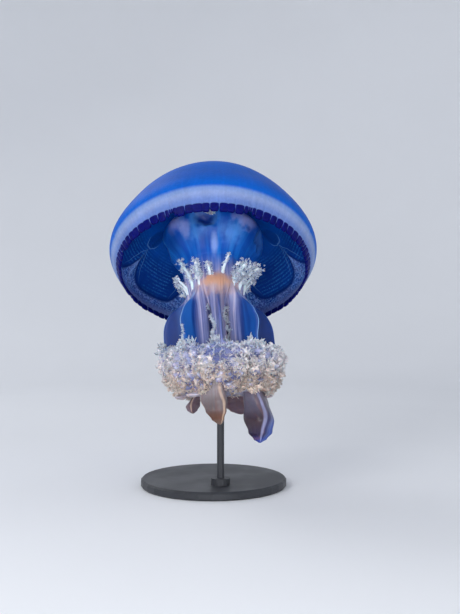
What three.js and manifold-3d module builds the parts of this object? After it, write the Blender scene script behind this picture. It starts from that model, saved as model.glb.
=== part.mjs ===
// A barrel jellyfish at life size, banked on a display stand.
// Millimetres, +Z up. The animal's near side faces -Y and its crown leans back towards +Y.
import * as THREE from "three";
import { mergeVertices } from "three/addons/utils/BufferGeometryUtils.js";
import Module from "manifold-3d";

const wasm = await Module();
wasm.setup();

// ---------------------------------------------------------------- driving dimensions, in mm
const BELL_RADIUS = 150; // widest half width of the bell
const MOUTH_HEIGHT = 308; // middle of the bell's open mouth above the floor
const MOUTH_FORWARD = 12; // the same point in front of the middle of the base
const PARTING = 0.3; // gap between neighbouring pieces

const BASE_RADIUS = 105;
const BASE_THICKNESS = 12;
const BASE_EDGE = 2.5;
const ROD_RADIUS = 5;
const BOSS_RADIUS = 13;
const BOSS_HEIGHT = 9;
const ROD_FOOT = 4; // the rod's lower end above the floor, inside the base

// Angles, in degrees.
const BELL_TILT = 36; // the crown leans back from vertical
const BELL_ROLL = -1.4; // the right side is a little higher
const ARM_TILT = 11; // the arms hang this far from vertical
const ARM_LEAN = 3.5; // and drift this far to the right
const ARM_TURN = 3; // the first arm's turn from the near direction

const ARM_COUNT = 8;
const LAPPETS_PER_OCTANT = 8;

// Shares of the bell's radius: every shape below is drawn in them and scaled once.
const R = BELL_RADIUS;
const PART = PARTING / R;
const BEND_LENGTH = 0.5; // the stretch over which the column turns from the bell's axis to hanging
const RIM_STEP = 1; // control point of the bell's outlines where the crown meets the margin

const rad = THREE.MathUtils.degToRad;
const ARM_PITCH = (2 * Math.PI) / ARM_COUNT;

// ---------------------------------------------------------------- colours
const paint = (color, roughness) => ({ color, roughness, metalness: 0 });
const CROWN_BLUE = paint(0x1a66c8, 0.3);
const MARGIN_VIOLET = paint(0x241f78, 0.4);
const DISC_BLUE = paint(0x2e78c4, 0.35);
const COLUMN_LILAC = paint(0x8f9fc4, 0.45);
const BLADE_BLUE = paint(0x3f74ae, 0.35);
const FRILL_WHITE = paint(0xd5d6e8, 0.7);
const CLUB_GREY = paint(0x7d7a8c, 0.4);
const STAND_BLACK = paint(0x2b2d31, 0.5);

// ---------------------------------------------------------------- solids

// Merges a geometry's shared corners and turns its faces outwards.
function closed(geometry) {
  const bare = geometry.clone();
  bare.deleteAttribute("normal");
  bare.deleteAttribute("uv");
  const merged = mergeVertices(bare, 1e-3);
  const p = merged.getAttribute("position");
  const all = merged.index.array;
  const faces = [];
  for (let i = 0; i < all.length; i += 3) {
    const [i0, i1, i2] = all.slice(i, i + 3);
    if (i0 !== i1 && i1 !== i2 && i2 !== i0) faces.push(i0, i1, i2);
  }
  const [a, b, c] = [new THREE.Vector3(), new THREE.Vector3(), new THREE.Vector3()];
  let volume = 0;
  for (let i = 0; i < faces.length; i += 3) {
    a.fromBufferAttribute(p, faces[i]);
    b.fromBufferAttribute(p, faces[i + 1]);
    c.fromBufferAttribute(p, faces[i + 2]);
    volume += a.dot(b.cross(c));
  }
  if (volume < 0) {
    for (let i = 0; i < faces.length; i += 3) {
      [faces[i + 1], faces[i + 2]] = [faces[i + 2], faces[i + 1]];
    }
  }
  merged.setIndex(faces);
  return merged;
}

// A closed solid through a row of outlines with equal point counts. Each outline is drawn flat, as
// Vector2 points, and place(point, step) puts a point of outline number `step` into space, in mm.
function loft(drawn, place) {
  const backwards = THREE.ShapeUtils.isClockWise(drawn[0]);
  const outlines = drawn.map((outline) => (backwards ? [...outline].reverse() : outline));
  const count = outlines[0].length;
  const positions = [];
  outlines.forEach((outline, step) =>
    outline.forEach((point) => positions.push(...place(point, step).toArray())),
  );
  const faces = [];
  for (let step = 0; step + 1 < outlines.length; step++) {
    for (let i = 0; i < count; i++) {
      const j = (i + 1) % count;
      const [here, next] = [step * count, (step + 1) * count];
      faces.push(here + i, here + j, next + j, here + i, next + j, next + i);
    }
  }
  const last = (outlines.length - 1) * count;
  for (const [i, j, k] of THREE.ShapeUtils.triangulateShape(outlines[0], [])) {
    faces.push(i, k, j);
  }
  for (const [i, j, k] of THREE.ShapeUtils.triangulateShape(outlines.at(-1), [])) {
    faces.push(last + i, last + j, last + k);
  }
  const geometry = new THREE.BufferGeometry();
  geometry.setAttribute("position", new THREE.Float32BufferAttribute(positions, 3));
  geometry.setIndex(faces);
  return closed(geometry);
}

// A solid of revolution about Z from a half outline of [radius, height] shares.
function turned(outline, segments) {
  const points = outline.map(([radius, height]) => new THREE.Vector2(radius * R, height * R));
  return closed(new THREE.LatheGeometry(points, segments).rotateX(Math.PI / 2));
}

function toManifold(geometry) {
  return new wasm.Manifold(
    new wasm.Mesh({
      numProp: 3,
      vertProperties: geometry.getAttribute("position").array,
      triVerts: new Uint32Array(geometry.index.array),
    }),
  );
}

function fromManifold(solid) {
  const mesh = solid.getMesh();
  const geometry = new THREE.BufferGeometry();
  geometry.setAttribute("position", new THREE.BufferAttribute(mesh.vertProperties, 3));
  geometry.setIndex(new THREE.BufferAttribute(mesh.triVerts, 1));
  return geometry;
}

function addPiece(group, name, geometry, colours) {
  const mesh = new THREE.Mesh(geometry, new THREE.MeshStandardMaterial(colours));
  mesh.name = name;
  group.add(mesh);
}

// A smooth value along a few [place, value] pairs.
function along(pairs, place) {
  const last = pairs.length - 1;
  const after = pairs.findIndex(([at]) => at > place);
  if (after === 0) return pairs[0][1];
  if (after < 0) return pairs[last][1];
  const [[from, low], [to, high]] = [pairs[after - 1], pairs[after]];
  return THREE.MathUtils.lerp(low, high, THREE.MathUtils.smoothstep(place, from, to));
}

// Even steps from one value to another, both included.
function evenly(from, to, steps) {
  return Array.from({ length: steps + 1 }, (_, i) => THREE.MathUtils.lerp(from, to, i / steps));
}

// ---------------------------------------------------------------- the animal's own frame
// In the animal's group the bell's axis is +Z, its mouth lies at Z = 0 and +Y is its far side.
// The column hangs from the mouth's middle: `drop` is the way down along its centre line, `out` the
// distance from that line, and `turn` the angle about it, from the near side towards the right.
const TURN_BACK = rad(BELL_TILT - ARM_TILT);
const BEND_RADIUS = BEND_LENGTH / TURN_BACK;

function columnAngle(drop) {
  return TURN_BACK * THREE.MathUtils.clamp(drop / BEND_LENGTH, 0, 1);
}

function columnCentre(drop) {
  const angle = columnAngle(drop);
  const straight = Math.max(drop - BEND_LENGTH, 0);
  const above = Math.min(drop, 0);
  return new THREE.Vector3(
    Math.tan(rad(ARM_LEAN)) * Math.max(drop, 0),
    BEND_RADIUS * (1 - Math.cos(angle)) + straight * Math.sin(angle),
    -BEND_RADIUS * Math.sin(angle) - straight * Math.cos(angle) - above,
  );
}

function onColumn(out, turn, drop) {
  const angle = columnAngle(drop);
  const side = out * Math.sin(turn);
  const back = -out * Math.cos(turn);
  const offset = new THREE.Vector3(side, back * Math.cos(angle), back * Math.sin(angle));
  return columnCentre(drop).add(offset).multiplyScalar(R);
}

// Places a point drawn as (out, across) on an arm at the angle `turn` and the level `drop`.
function onArm(out, across, turn, drop) {
  return onColumn(Math.hypot(out, across), turn + Math.atan2(across, out), drop);
}

const armTurn = (arm) => rad(ARM_TURN) + arm * ARM_PITCH;

// ---------------------------------------------------------------- bell
// Half outlines from the margin up over the crown; the last point mirrors the one before the crown,
// so that the outline crosses the axis level.
function outline(points) {
  const mirrored = [...points, [-points.at(-2)[0], points.at(-2)[1]]];
  return new THREE.CatmullRomCurve3(mirrored.map(([radius, height]) => new THREE.Vector3(radius, height)));
}
const OUTER_POINTS = [[0.905, 0], [1, 0.205], [0.872, 0.522], [0.688, 0.788], [0.435, 0.991], [0, 1.085]];
const INNER_POINTS = [[0.888, 0], [0.955, 0.205], [0.8, 0.47], [0.6, 0.655], [0.34, 0.775], [0, 0.81]];
const OUTER = outline(OUTER_POINTS);
const INNER = outline(INNER_POINTS);
const OUTLINE_STEPS = OUTER_POINTS.length;

// The outline's points between two control points.
function stretch(curve, from, to, steps) {
  return evenly(from, to, steps).map((place) => {
    const point = curve.getPoint(place / OUTLINE_STEPS);
    return [point.x, point.y];
  });
}

// Height of the bell's ceiling at a distance from its axis.
function ceilingAt(radius) {
  const samples = stretch(INNER, RIM_STEP, OUTLINE_STEPS - 1, 60);
  const after = samples.findIndex(([reach]) => reach < radius);
  const [[outer, low], [inner, high]] = [samples[after - 1], samples[after]];
  return THREE.MathUtils.mapLinear(radius, outer, inner, low, high);
}

function bellDome() {
  const crown = OUTLINE_STEPS - 1;
  const inside = stretch(INNER, crown, RIM_STEP, 6);
  const outside = stretch(OUTER, RIM_STEP, crown, 8);
  inside[0][0] = 0;
  outside.at(-1)[0] = 0;
  return turned([...inside, ...outside], 42);
}

// One octant of the margin: a curved wall that ends in eight broad lappets between two narrow ones,
// parted from the next octant at a sense-organ notch.
const OCTANT = Math.PI / 4;
const NOTCH_ANGLE = rad(1.1); // half of the gap at a sense organ
const NARROW_LAPPET = rad(2.2);
const LAPPET_ROOT = 0.55; // control step of the outlines where the lappets spring from the wall
const LAPPET_SHAPE = [[0, 0.5], [0.24, 0.98], [0.76, 0.98]]; // shares of width and length
const NARROW_SHAPE = [[0, 0.35], [0.5, 0.8]];
const NOTCH_SIDE = 0.2; // how far the edge hangs beside the notch and in it
const NOTCH_MIDDLE = 0.12;

function lappetEdge() {
  const half = OCTANT / 2;
  const broad = (OCTANT - 2 * (NOTCH_ANGLE + NARROW_LAPPET)) / LAPPETS_PER_OCTANT;
  const widths = [NARROW_LAPPET, ...Array(LAPPETS_PER_OCTANT).fill(broad), NARROW_LAPPET];
  const edge = [[PART - half, NOTCH_MIDDLE], [NOTCH_ANGLE - half, NOTCH_SIDE]];
  let start = NOTCH_ANGLE - half;
  widths.forEach((width, place) => {
    const shape = width === broad ? LAPPET_SHAPE : NARROW_SHAPE;
    shape.forEach(([share, length]) => {
      if (place > 0 || share > 0) edge.push([start + share * width, length]);
    });
    start += width;
  });
  edge.push([half - NOTCH_ANGLE, NOTCH_SIDE], [half - PART, NOTCH_MIDDLE]);
  return edge;
}

function bellMargin(octant) {
  const edge = lappetEdge();
  const at = (curve, step) => curve.getPoint(step / OUTLINE_STEPS);
  const walls = [OUTER, INNER].map((curve) => ({
    top: at(curve, RIM_STEP).sub(new THREE.Vector3(0, PART, 0)),
    root: at(curve, LAPPET_ROOT),
    tip: at(curve, 0),
  }));
  const outlines = edge.map(([, length]) => {
    const [out, inn] = walls.map(({ top, root, tip }) => [top, root, root.clone().lerp(tip, length)]);
    return [...out, ...inn.reverse()].map((point) => new THREE.Vector2(point.x, point.y));
  });
  return loft(outlines, ({ x, y }, step) => {
    const angle = octant * OCTANT + edge[step][0];
    return new THREE.Vector3(x * Math.sin(angle), -x * Math.cos(angle), y).multiplyScalar(R);
  });
}

// ---------------------------------------------------------------- disc, pillars and column
const DISC_TOP = 0.43;
const DISC_OUTLINE = [
  [0, DISC_TOP], [0.45, DISC_TOP], [0.5, 0.385], [0.49, 0.32], [0.43, 0.23], [0.35, 0.13], [0.312, 0.05],
  [0.3, 0], [0, 0],
];
const COLUMN_SHOULDER = 0.11;
const COLUMN_END = 0.95;
const CORE_RADIUS = 0.1;
const SOCKET_DEPTH = 0.24; // how far the stand's rod reaches up into the column
const COLUMN_OUTLINE = [
  // radius, drop
  [0.296, PART], [0.284, COLUMN_SHOULDER], [CORE_RADIUS, COLUMN_SHOULDER + PART],
  [CORE_RADIUS, 0.3], [CORE_RADIUS, 0.5], [CORE_RADIUS, COLUMN_END],
];

const PILLAR_OUT = 0.38;
const PILLAR_DEPTH = 0.055; // half sizes of a pillar's waist
const PILLAR_WIDTH = 0.12;
const PILLAR_SWELL = [[0, 1.25], [0.35, 0.92], [0.7, 1], [1, 1.35]]; // share of the height, size there

function ring(count, point) {
  return Array.from({ length: count }, (_, i) => point((i * 2 * Math.PI) / count));
}

function gastricPillar(index) {
  const turn = Math.PI / 4 + (index * Math.PI) / 2;
  const outlines = PILLAR_SWELL.map(([, swell]) =>
    ring(10, (angle) => new THREE.Vector2(
      PILLAR_OUT + PILLAR_DEPTH * swell * Math.cos(angle),
      PILLAR_WIDTH * swell * Math.sin(angle),
    )),
  );
  return loft(outlines, ({ x, y }, step) => {
    const roof = ceilingAt(Math.hypot(x, y)) - 4 * PART;
    const height = THREE.MathUtils.lerp(DISC_TOP + PART, roof, PILLAR_SWELL[step][0]);
    return onArm(x, y, turn, -height);
  });
}

function columnSolid() {
  const outlines = COLUMN_OUTLINE.map(([radius]) =>
    ring(20, (angle) => new THREE.Vector2(radius * Math.cos(angle), radius * Math.sin(angle))),
  );
  return loft(outlines, ({ x, y }, step) => onArm(x, y, 0, COLUMN_OUTLINE[step][1]));
}

// ---------------------------------------------------------------- mouth arms
// Upper arm: a thick inner part that thins outwards to a flat blade, flaring on the way down.
const BLADE_TOP = COLUMN_SHOULDER + 3 * PART;
const BLADE_END = 0.76;
const BLADE_REACH = [[0.1, 0.255], [0.2, 0.262], [0.3, 0.32], [0.46, 0.445], [0.58, 0.505], [0.75, 0.52]];
const BLADE_TIP = 0.016; // half thickness of the blade's outer edge
const NECK_REACH = 0.26; // reach where the blade starts to stand out
const BODY_REACH = 0.2; // the thick inner part at its widest
const RIDGE_REACH = 0.3; // where it has thinned to the blade
const ARM_INSIDE = 0.108; // distance from the centre line where the arms start
const SIDE_GAP = 0.009; // half of the gap between two arms
const SECTOR = Math.tan(ARM_PITCH / 2);

function mirrored(halfOutline) {
  const points = halfOutline.map(([out, across]) => new THREE.Vector2(out, across));
  const back = halfOutline.map(([out, across]) => new THREE.Vector2(out, -across)).reverse();
  return [...points, ...back];
}

function upperArm(arm) {
  const levels = evenly(BLADE_TOP, BLADE_END, 5);
  const outlines = levels.map((drop) => {
    const reach = along(BLADE_REACH, drop);
    const flare = THREE.MathUtils.clamp((reach - NECK_REACH) / NECK_REACH, 0, 1);
    const ridge = THREE.MathUtils.lerp(reach - BLADE_TIP, RIDGE_REACH, flare);
    return mirrored([
      [ARM_INSIDE, ARM_INSIDE * SECTOR - SIDE_GAP],
      [BODY_REACH, BODY_REACH * SECTOR - SIDE_GAP],
      [ridge, THREE.MathUtils.lerp(4, 2, flare) * BLADE_TIP],
      [reach, BLADE_TIP],
    ]);
  });
  return loft(outlines, ({ x, y }, step) => onArm(x, y, armTurn(arm), levels[step]));
}

// Lower arm: one inner wing and two outer wings with thick frilled edges and a smooth trough between.
const FRILL_TOP = BLADE_END + 2 * PART;
const FRILL_END = 1.19;
const FRILL_HALF_SECTION = [
  [ARM_INSIDE, 0.03], [0.26, 0.06], [0.43, 0.16], [0.525, 0.205], [0.59, 0.165], [0.575, 0.085], [0.48, 0.03],
];
const FRILL_GIRTH = [[0.76, 0.9], [0.82, 1], [0.94, 1.02], [1.04, 0.97], [1.12, 0.86], [1.2, 0.66]];
const frillSwell = (arm, step) => 1 + 0.03 * Math.sin(2.4 * arm + 2.1 * step); // no two arms alike

function armFrills(arm) {
  const levels = evenly(FRILL_TOP, FRILL_END, 5);
  const outlines = levels.map((drop, step) => {
    const girth = along(FRILL_GIRTH, drop) * frillSwell(arm, step);
    const section = FRILL_HALF_SECTION.map(([out, across]) => {
      const grown = ARM_INSIDE + (out - ARM_INSIDE) * girth;
      return [grown, Math.min(across * girth, grown * SECTOR - SIDE_GAP)];
    });
    return mirrored(section);
  });
  return loft(outlines, ({ x, y }, step) => onArm(x, y, armTurn(arm), levels[step]));
}

// Terminal clubs, one to each arm: [end, greatest half width, turns of its root and its tip from the
// arm in degrees]. Some hang long and some stay tucked among the frills.
const CLUB_TOP = FRILL_END + 2 * PART;
const CLUBS = [
  [1.49, 0.115, -17, -11], [1.65, 0.15, 8, 0], [1.29, 0.09, 3, 0], [1.27, 0.05, -12, -14],
  [1.36, 0.13, -24, -26], [1.35, 0.07, 2, 6], [1.27, 0.09, 2, 0], [1.29, 0.09, -2, -4],
];
const CLUB_OUT = 0.33; // a club's root from the column's centre line
const CLUB_BULGE = 0.06; // how much further out it hangs at its middle
const CLUB_FLATNESS = 0.8;
const CLUB_LOBE = 0.16; // depth of its three rounded edges
const CLUB_STEPS = [0, 0.2, 0.42, 0.62, 0.82, 1];
const CLUB_GIRTH = [[0, 0.7], [0.25, 0.78], [0.55, 1], [0.8, 0.72], [1, 0.1]];

function armClub(arm) {
  const [end, width, rootSwing, tipSwing] = CLUBS[arm];
  const outlines = CLUB_STEPS.map((share) => {
    const girth = width * along(CLUB_GIRTH, share);
    return ring(9, (angle) => {
      const lobed = girth * (1 + CLUB_LOBE * Math.cos(3 * angle));
      return new THREE.Vector2(CLUB_FLATNESS * lobed * Math.cos(angle), lobed * Math.sin(angle));
    });
  });
  return loft(outlines, ({ x, y }, step) => {
    const share = CLUB_STEPS[step];
    const out = CLUB_OUT + CLUB_BULGE * Math.sin(0.7 * Math.PI * share);
    const turn = armTurn(arm) + rad(THREE.MathUtils.lerp(rootSwing, tipSwing, share));
    return onArm(out + x, y, turn, THREE.MathUtils.lerp(CLUB_TOP, end, share));
  });
}

// Scapulets: a pair of small flaps on the outer side of each arm, rising to a frilled head.
const SCAPULET_PATH = [
  // out, drop, half depth, half width
  [0.312, 0.23, 0.014, 0.016],
  [0.325, 0.14, 0.026, 0.022],
  [0.37, 0.04, 0.044, 0.04],
  [0.39, -0.03, 0.02, 0.022],
];
const SCAPULET_SPREAD = rad(9.5);
const SCAPULET_GROWTH = [0.9, 1.2, 1.15, 1, 0.95, 1, 0.85, 0.9]; // size of each arm's pair
const BRIDGE_HEIGHT = 0.015; // the strap that joins a pair, above the flaps' roots

function ellipse(count, depth, width) {
  return ring(count, (angle) => new THREE.Vector2(depth * Math.cos(angle), width * Math.sin(angle)));
}

function scapuletPair(arm) {
  const grow = SCAPULET_GROWTH[arm];
  const [rootOut, rootDrop, rootDepth, rootWidth] = SCAPULET_PATH[0];
  const flaps = [-1, 1].map((side) => {
    const outlines = SCAPULET_PATH.map(([, , depth, width]) => ellipse(6, depth * grow, width * grow));
    return loft(outlines, ({ x, y }, step) => {
      const [out, drop] = SCAPULET_PATH[step];
      const turn = armTurn(arm) + side * SCAPULET_SPREAD;
      return onArm(rootOut + (out - rootOut) * grow + x, y, turn, rootDrop + (drop - rootDrop) * grow);
    });
  });
  const strap = [ellipse(5, rootDepth - PART, rootWidth), ellipse(5, rootDepth - PART, rootWidth)];
  const bridge = loft(strap, ({ x, y }, step) => {
    const turn = armTurn(arm) + (step ? 1 : -1) * SCAPULET_SPREAD;
    return onColumn(rootOut + x, turn, rootDrop - BRIDGE_HEIGHT + y);
  });
  return fromManifold(toManifold(flaps[0]).add(toManifold(flaps[1])).add(toManifold(bridge)));
}

// ---------------------------------------------------------------- assembly
const model = new THREE.Group();
const animal = new THREE.Group();
animal.position.set(0, -MOUTH_FORWARD, MOUTH_HEIGHT);
animal.rotation.set(rad(-BELL_TILT), rad(BELL_ROLL), 0, "YXZ");
animal.updateMatrix();
model.add(animal);

addPiece(animal, "bell_dome", bellDome(), CROWN_BLUE);
for (let octant = 0; octant < 8; octant++) {
  addPiece(animal, "bell_margin_" + (octant + 1), bellMargin(octant), MARGIN_VIOLET);
}
for (let index = 0; index < 4; index++) {
  addPiece(animal, "gastric_pillar_" + (index + 1), gastricPillar(index), DISC_BLUE);
}
addPiece(animal, "oral_disc", turned(DISC_OUTLINE, 28), DISC_BLUE);

// The rod stands upright and ends inside the column's lower end, in a socket with a small clearance.
const socketMouth = columnCentre(COLUMN_END).multiplyScalar(R).applyMatrix4(animal.matrix);
const socketEnd = columnCentre(COLUMN_END - SOCKET_DEPTH).multiplyScalar(R).applyMatrix4(animal.matrix);
const rodX = (socketMouth.x + socketEnd.x) / 2;
const rodY = (socketMouth.y + socketEnd.y) / 2;

function uprightCylinder(radius, from, to, segments) {
  const cylinder = new THREE.CylinderGeometry(radius, radius, to - from, segments).rotateX(Math.PI / 2);
  return closed(cylinder.translate(rodX, rodY, (from + to) / 2));
}

const socket = uprightCylinder(ROD_RADIUS + PARTING, 0, socketEnd.z, 16);
socket.applyMatrix4(animal.matrix.clone().invert());
const column = toManifold(columnSolid()).subtract(toManifold(socket));
addPiece(animal, "manubrium", fromManifold(column), COLUMN_LILAC);

for (let arm = 0; arm < ARM_COUNT; arm++) {
  addPiece(animal, "scapulets_" + (arm + 1), scapuletPair(arm), FRILL_WHITE);
  addPiece(animal, "arm_blade_" + (arm + 1), upperArm(arm), BLADE_BLUE);
  addPiece(animal, "arm_frills_" + (arm + 1), armFrills(arm), FRILL_WHITE);
  addPiece(animal, "arm_club_" + (arm + 1), armClub(arm), CLUB_GREY);
}

// Stand: a round base with a boss that holds the rod's foot.
function standBase() {
  const edge = BASE_RADIUS - BASE_EDGE;
  const points = [[0, 0], [edge, 0], [BASE_RADIUS, BASE_EDGE], [BASE_RADIUS, BASE_THICKNESS - BASE_EDGE]];
  points.push([edge, BASE_THICKNESS], [0, BASE_THICKNESS]);
  const disc = turned(points.map(([radius, height]) => [radius / R, height / R]), 36);
  const boss = uprightCylinder(BOSS_RADIUS, BASE_THICKNESS / 2, BASE_THICKNESS + BOSS_HEIGHT, 20);
  const hole = uprightCylinder(ROD_RADIUS + PARTING, ROD_FOOT, BASE_THICKNESS + 2 * BOSS_HEIGHT, 16);
  return fromManifold(toManifold(disc).add(toManifold(boss)).subtract(toManifold(hole)));
}
addPiece(model, "stand_base", standBase(), STAND_BLACK);
const rod = uprightCylinder(ROD_RADIUS, ROD_FOOT + PARTING, socketEnd.z - 2 * PARTING, 16);
addPiece(model, "stand_rod", rod, STAND_BLACK);

export default model;
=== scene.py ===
from functools import lru_cache
import math
import random

import bmesh
import bpy
import numpy as np
from mathutils import Matrix, Vector, noise


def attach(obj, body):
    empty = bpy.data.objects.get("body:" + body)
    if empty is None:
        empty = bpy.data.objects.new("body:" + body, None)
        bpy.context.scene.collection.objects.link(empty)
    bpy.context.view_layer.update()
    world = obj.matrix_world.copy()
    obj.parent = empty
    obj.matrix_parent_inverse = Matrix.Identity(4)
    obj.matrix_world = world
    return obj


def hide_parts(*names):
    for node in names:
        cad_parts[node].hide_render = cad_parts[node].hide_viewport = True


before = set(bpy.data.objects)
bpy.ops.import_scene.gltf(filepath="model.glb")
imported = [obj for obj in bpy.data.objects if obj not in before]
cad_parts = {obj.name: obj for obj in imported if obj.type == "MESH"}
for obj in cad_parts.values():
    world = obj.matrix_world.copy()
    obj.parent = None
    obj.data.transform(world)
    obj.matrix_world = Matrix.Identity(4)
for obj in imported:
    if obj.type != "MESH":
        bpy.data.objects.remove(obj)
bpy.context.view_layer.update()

# A barrel jellyfish at life size, banked on a display stand. Metres, +Z up, near side towards -Y.
# Shapes are drawn in shares of the bell's radius, in the animal's own frame: the bell's axis is +Z,
# its mouth lies at height 0, and a `turn` runs from the near side towards the right.

# ---------------------------------------------------------------- driving dimensions
BELL_RADIUS = 0.150
MOUTH = Vector((0, -0.012, 0.308))  # middle of the bell's open mouth
BELL_TILT = 36  # degrees that the crown leans back
BELL_ROLL = -1.4
ARM_TILT = 11
ARM_LEAN = 3.5
ARM_TURN = 3  # turn of the first arm
ARM_COUNT = 8
BEND_LENGTH = 0.5  # the stretch over which the column turns from the bell's axis to hanging

MILLIMETRE = 0.001 / BELL_RADIUS  # as a share
SECTOR = math.pi / ARM_COUNT  # half of one arm's sector
FULL_TURN = 2 * math.pi

rad = math.radians
dice = random.Random(7)
scatter = np.random.default_rng(7)


# ---------------------------------------------------------------- small sums
def mix(a, b, share):
    return a + (b - a) * share


def clamp(value, low=0.0, high=1.0):
    return max(low, min(high, value))


def smooth(low, high, value):
    share = clamp((value - low) / (high - low))
    return share * share * (3 - 2 * share)


def hump(value, centre, half):
    """1 at the centre, falling smoothly to 0 at `half` from it."""
    return max(0.0, 1 - ((value - centre) / half) ** 2) ** 2


def along(pairs, place):
    """A smooth value along a few (place, value) pairs."""
    if place <= pairs[0][0]:
        return pairs[0][1]
    for (start, low), (end, high) in zip(pairs, pairs[1:]):
        if place < end:
            return mix(low, high, smooth(start, end, place))
    return pairs[-1][1]


def flowing(pairs, place):
    """A value along (place, value) pairs whose slope carries on from pair to pair."""
    if place <= pairs[0][0]:
        return pairs[0][1]
    last = len(pairs) - 1
    for step in range(last):
        (start, low), (end, high) = pairs[step], pairs[step + 1]
        if place < end:
            before, beyond = pairs[max(step - 1, 0)], pairs[min(step + 2, last)]
            leave = (high - before[1]) / (end - before[0])
            arrive = (beyond[1] - low) / (beyond[0] - start)
            gap = end - start
            share = (place - start) / gap
            square, cube = share ** 2, share ** 3
            return ((2 * cube - 3 * square + 1) * low + (cube - 2 * square + share) * gap * leave
                    + (3 * square - 2 * cube) * high + (cube - square) * gap * arrive)
    return pairs[-1][1]


def curve_point(points, place):
    """The point `place` steps along a smooth curve through some points."""
    step = int(clamp(place, 0, len(points) - 1.001))
    share = place - step
    here, after = points[step], points[step + 1]
    before = points[step - 1] if step else 2 * here - after
    beyond = points[step + 2] if step + 2 < len(points) else 2 * after - here
    gaps = [max((b - a).length, 1e-6) ** 0.5 for a, b in ((before, here), (here, after), (after, beyond))]
    leave = (here - before) / gaps[0] - (after - before) / (gaps[0] + gaps[1]) + (after - here) / gaps[1]
    arrive = (after - here) / gaps[1] - (beyond - here) / (gaps[1] + gaps[2]) + (beyond - after) / gaps[2]
    square, cube = share * share, share ** 3
    return (
        (2 * cube - 3 * square + 1) * here
        + (cube - 2 * square + share) * gaps[1] * leave
        + (3 * square - 2 * cube) * after
        + (cube - square) * gaps[1] * arrive
    )


# ---------------------------------------------------------------- the animal's frame
TILTED = Matrix.Rotation(rad(BELL_ROLL), 3, "Y") @ Matrix.Rotation(rad(-BELL_TILT), 3, "X")
TURN_BACK = rad(BELL_TILT - ARM_TILT)
BEND_RADIUS = BEND_LENGTH / TURN_BACK


def in_model(point):
    return MOUTH + TILTED @ (point * BELL_RADIUS)


def in_bell(out, turn, height):
    return Vector((out * math.sin(turn), -out * math.cos(turn), height))


def column_angle(drop):
    return TURN_BACK * clamp(drop / BEND_LENGTH)


def column_centre(drop):
    angle = column_angle(drop)
    straight = max(drop - BEND_LENGTH, 0)
    return Vector((
        math.tan(rad(ARM_LEAN)) * max(drop, 0),
        BEND_RADIUS * (1 - math.cos(angle)) + straight * math.sin(angle),
        -BEND_RADIUS * math.sin(angle) - straight * math.cos(angle) - min(drop, 0),
    ))


def on_column(out, turn, drop):
    """A place at a distance and turn about the column's bent centre line, `drop` down it."""
    angle = column_angle(drop)
    back = -out * math.cos(turn)
    offset = Vector((out * math.sin(turn), back * math.cos(angle), back * math.sin(angle)))
    return column_centre(drop) + offset


def on_arm(out, across, turn, drop):
    return on_column(math.hypot(out, across), turn + math.atan2(across, out), drop)


def unbent(out, across, turn, drop):
    """The same place as if the column hung straight down the bell's axis."""
    reach, about = math.hypot(out, across), turn + math.atan2(across, out)
    return in_bell(reach, about, -drop)


def arm_turn(arm):
    return rad(ARM_TURN) + arm * 2 * SECTOR


# ---------------------------------------------------------------- making meshes
def grid_skin(columns, rows, place, marks):
    """A skin of columns by rows cells, joined along its side and at its poles. place(column, row)
    gives a corner's point in the animal's frame and the values of its marks."""
    bm = bmesh.new()
    layers = [(bm.verts.layers.float_vector if mark == "unbent" else bm.verts.layers.float).new(mark)
              for mark in marks]
    corners = bmesh.ops.create_grid(bm, x_segments=columns, y_segments=rows, size=1)["verts"]
    for corner in corners:
        column = round((corner.co.x + 1) / 2 * columns)
        row = round((corner.co.y + 1) / 2 * rows)
        point, values = place(column % columns, row)
        corner.co = in_model(point)
        for layer, value in zip(layers, values):
            corner[layer] = value
    bmesh.ops.remove_doubles(bm, verts=bm.verts, dist=1e-7)
    bmesh.ops.recalc_face_normals(bm, faces=bm.faces)
    return bm


def closed_tube(columns, rows, place, marks):
    """A tube's skin. place(angle, share, closing) gives what grid_skin's does, and closing is 0 at the
    two poles and 1 between them."""
    def corner(column, row):
        share = clamp((row - 1) / (rows - 2))
        return place(column / columns * FULL_TURN, share, 0 if row in (0, rows) else 1)

    return grid_skin(columns, rows, corner, marks)


def add_piece(name, parts, material, replaced):
    """One object from one bmesh or several, riding on the model's only body."""
    mesh = bpy.data.meshes.new(name)
    joined = parts[0]
    for part in parts[1:]:
        part.to_mesh(mesh)
        part.free()
        joined.from_mesh(mesh)
    joined.to_mesh(mesh)
    joined.free()
    mesh.shade_smooth()
    mesh.materials.append(material)
    piece = bpy.data.objects.new(name, mesh)
    bpy.context.scene.collection.objects.link(piece)
    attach(piece, "root")
    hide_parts(*replaced)


# ---------------------------------------------------------------- building node trees
def colour(red, green, blue):
    """A display colour of 0 to 255 as the shader's linear one."""
    def linear(level):
        share = level / 255
        return share / 12.92 if share <= 0.04045 else ((share + 0.055) / 1.055) ** 2.4
    return (linear(red), linear(green), linear(blue), 1)


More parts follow.
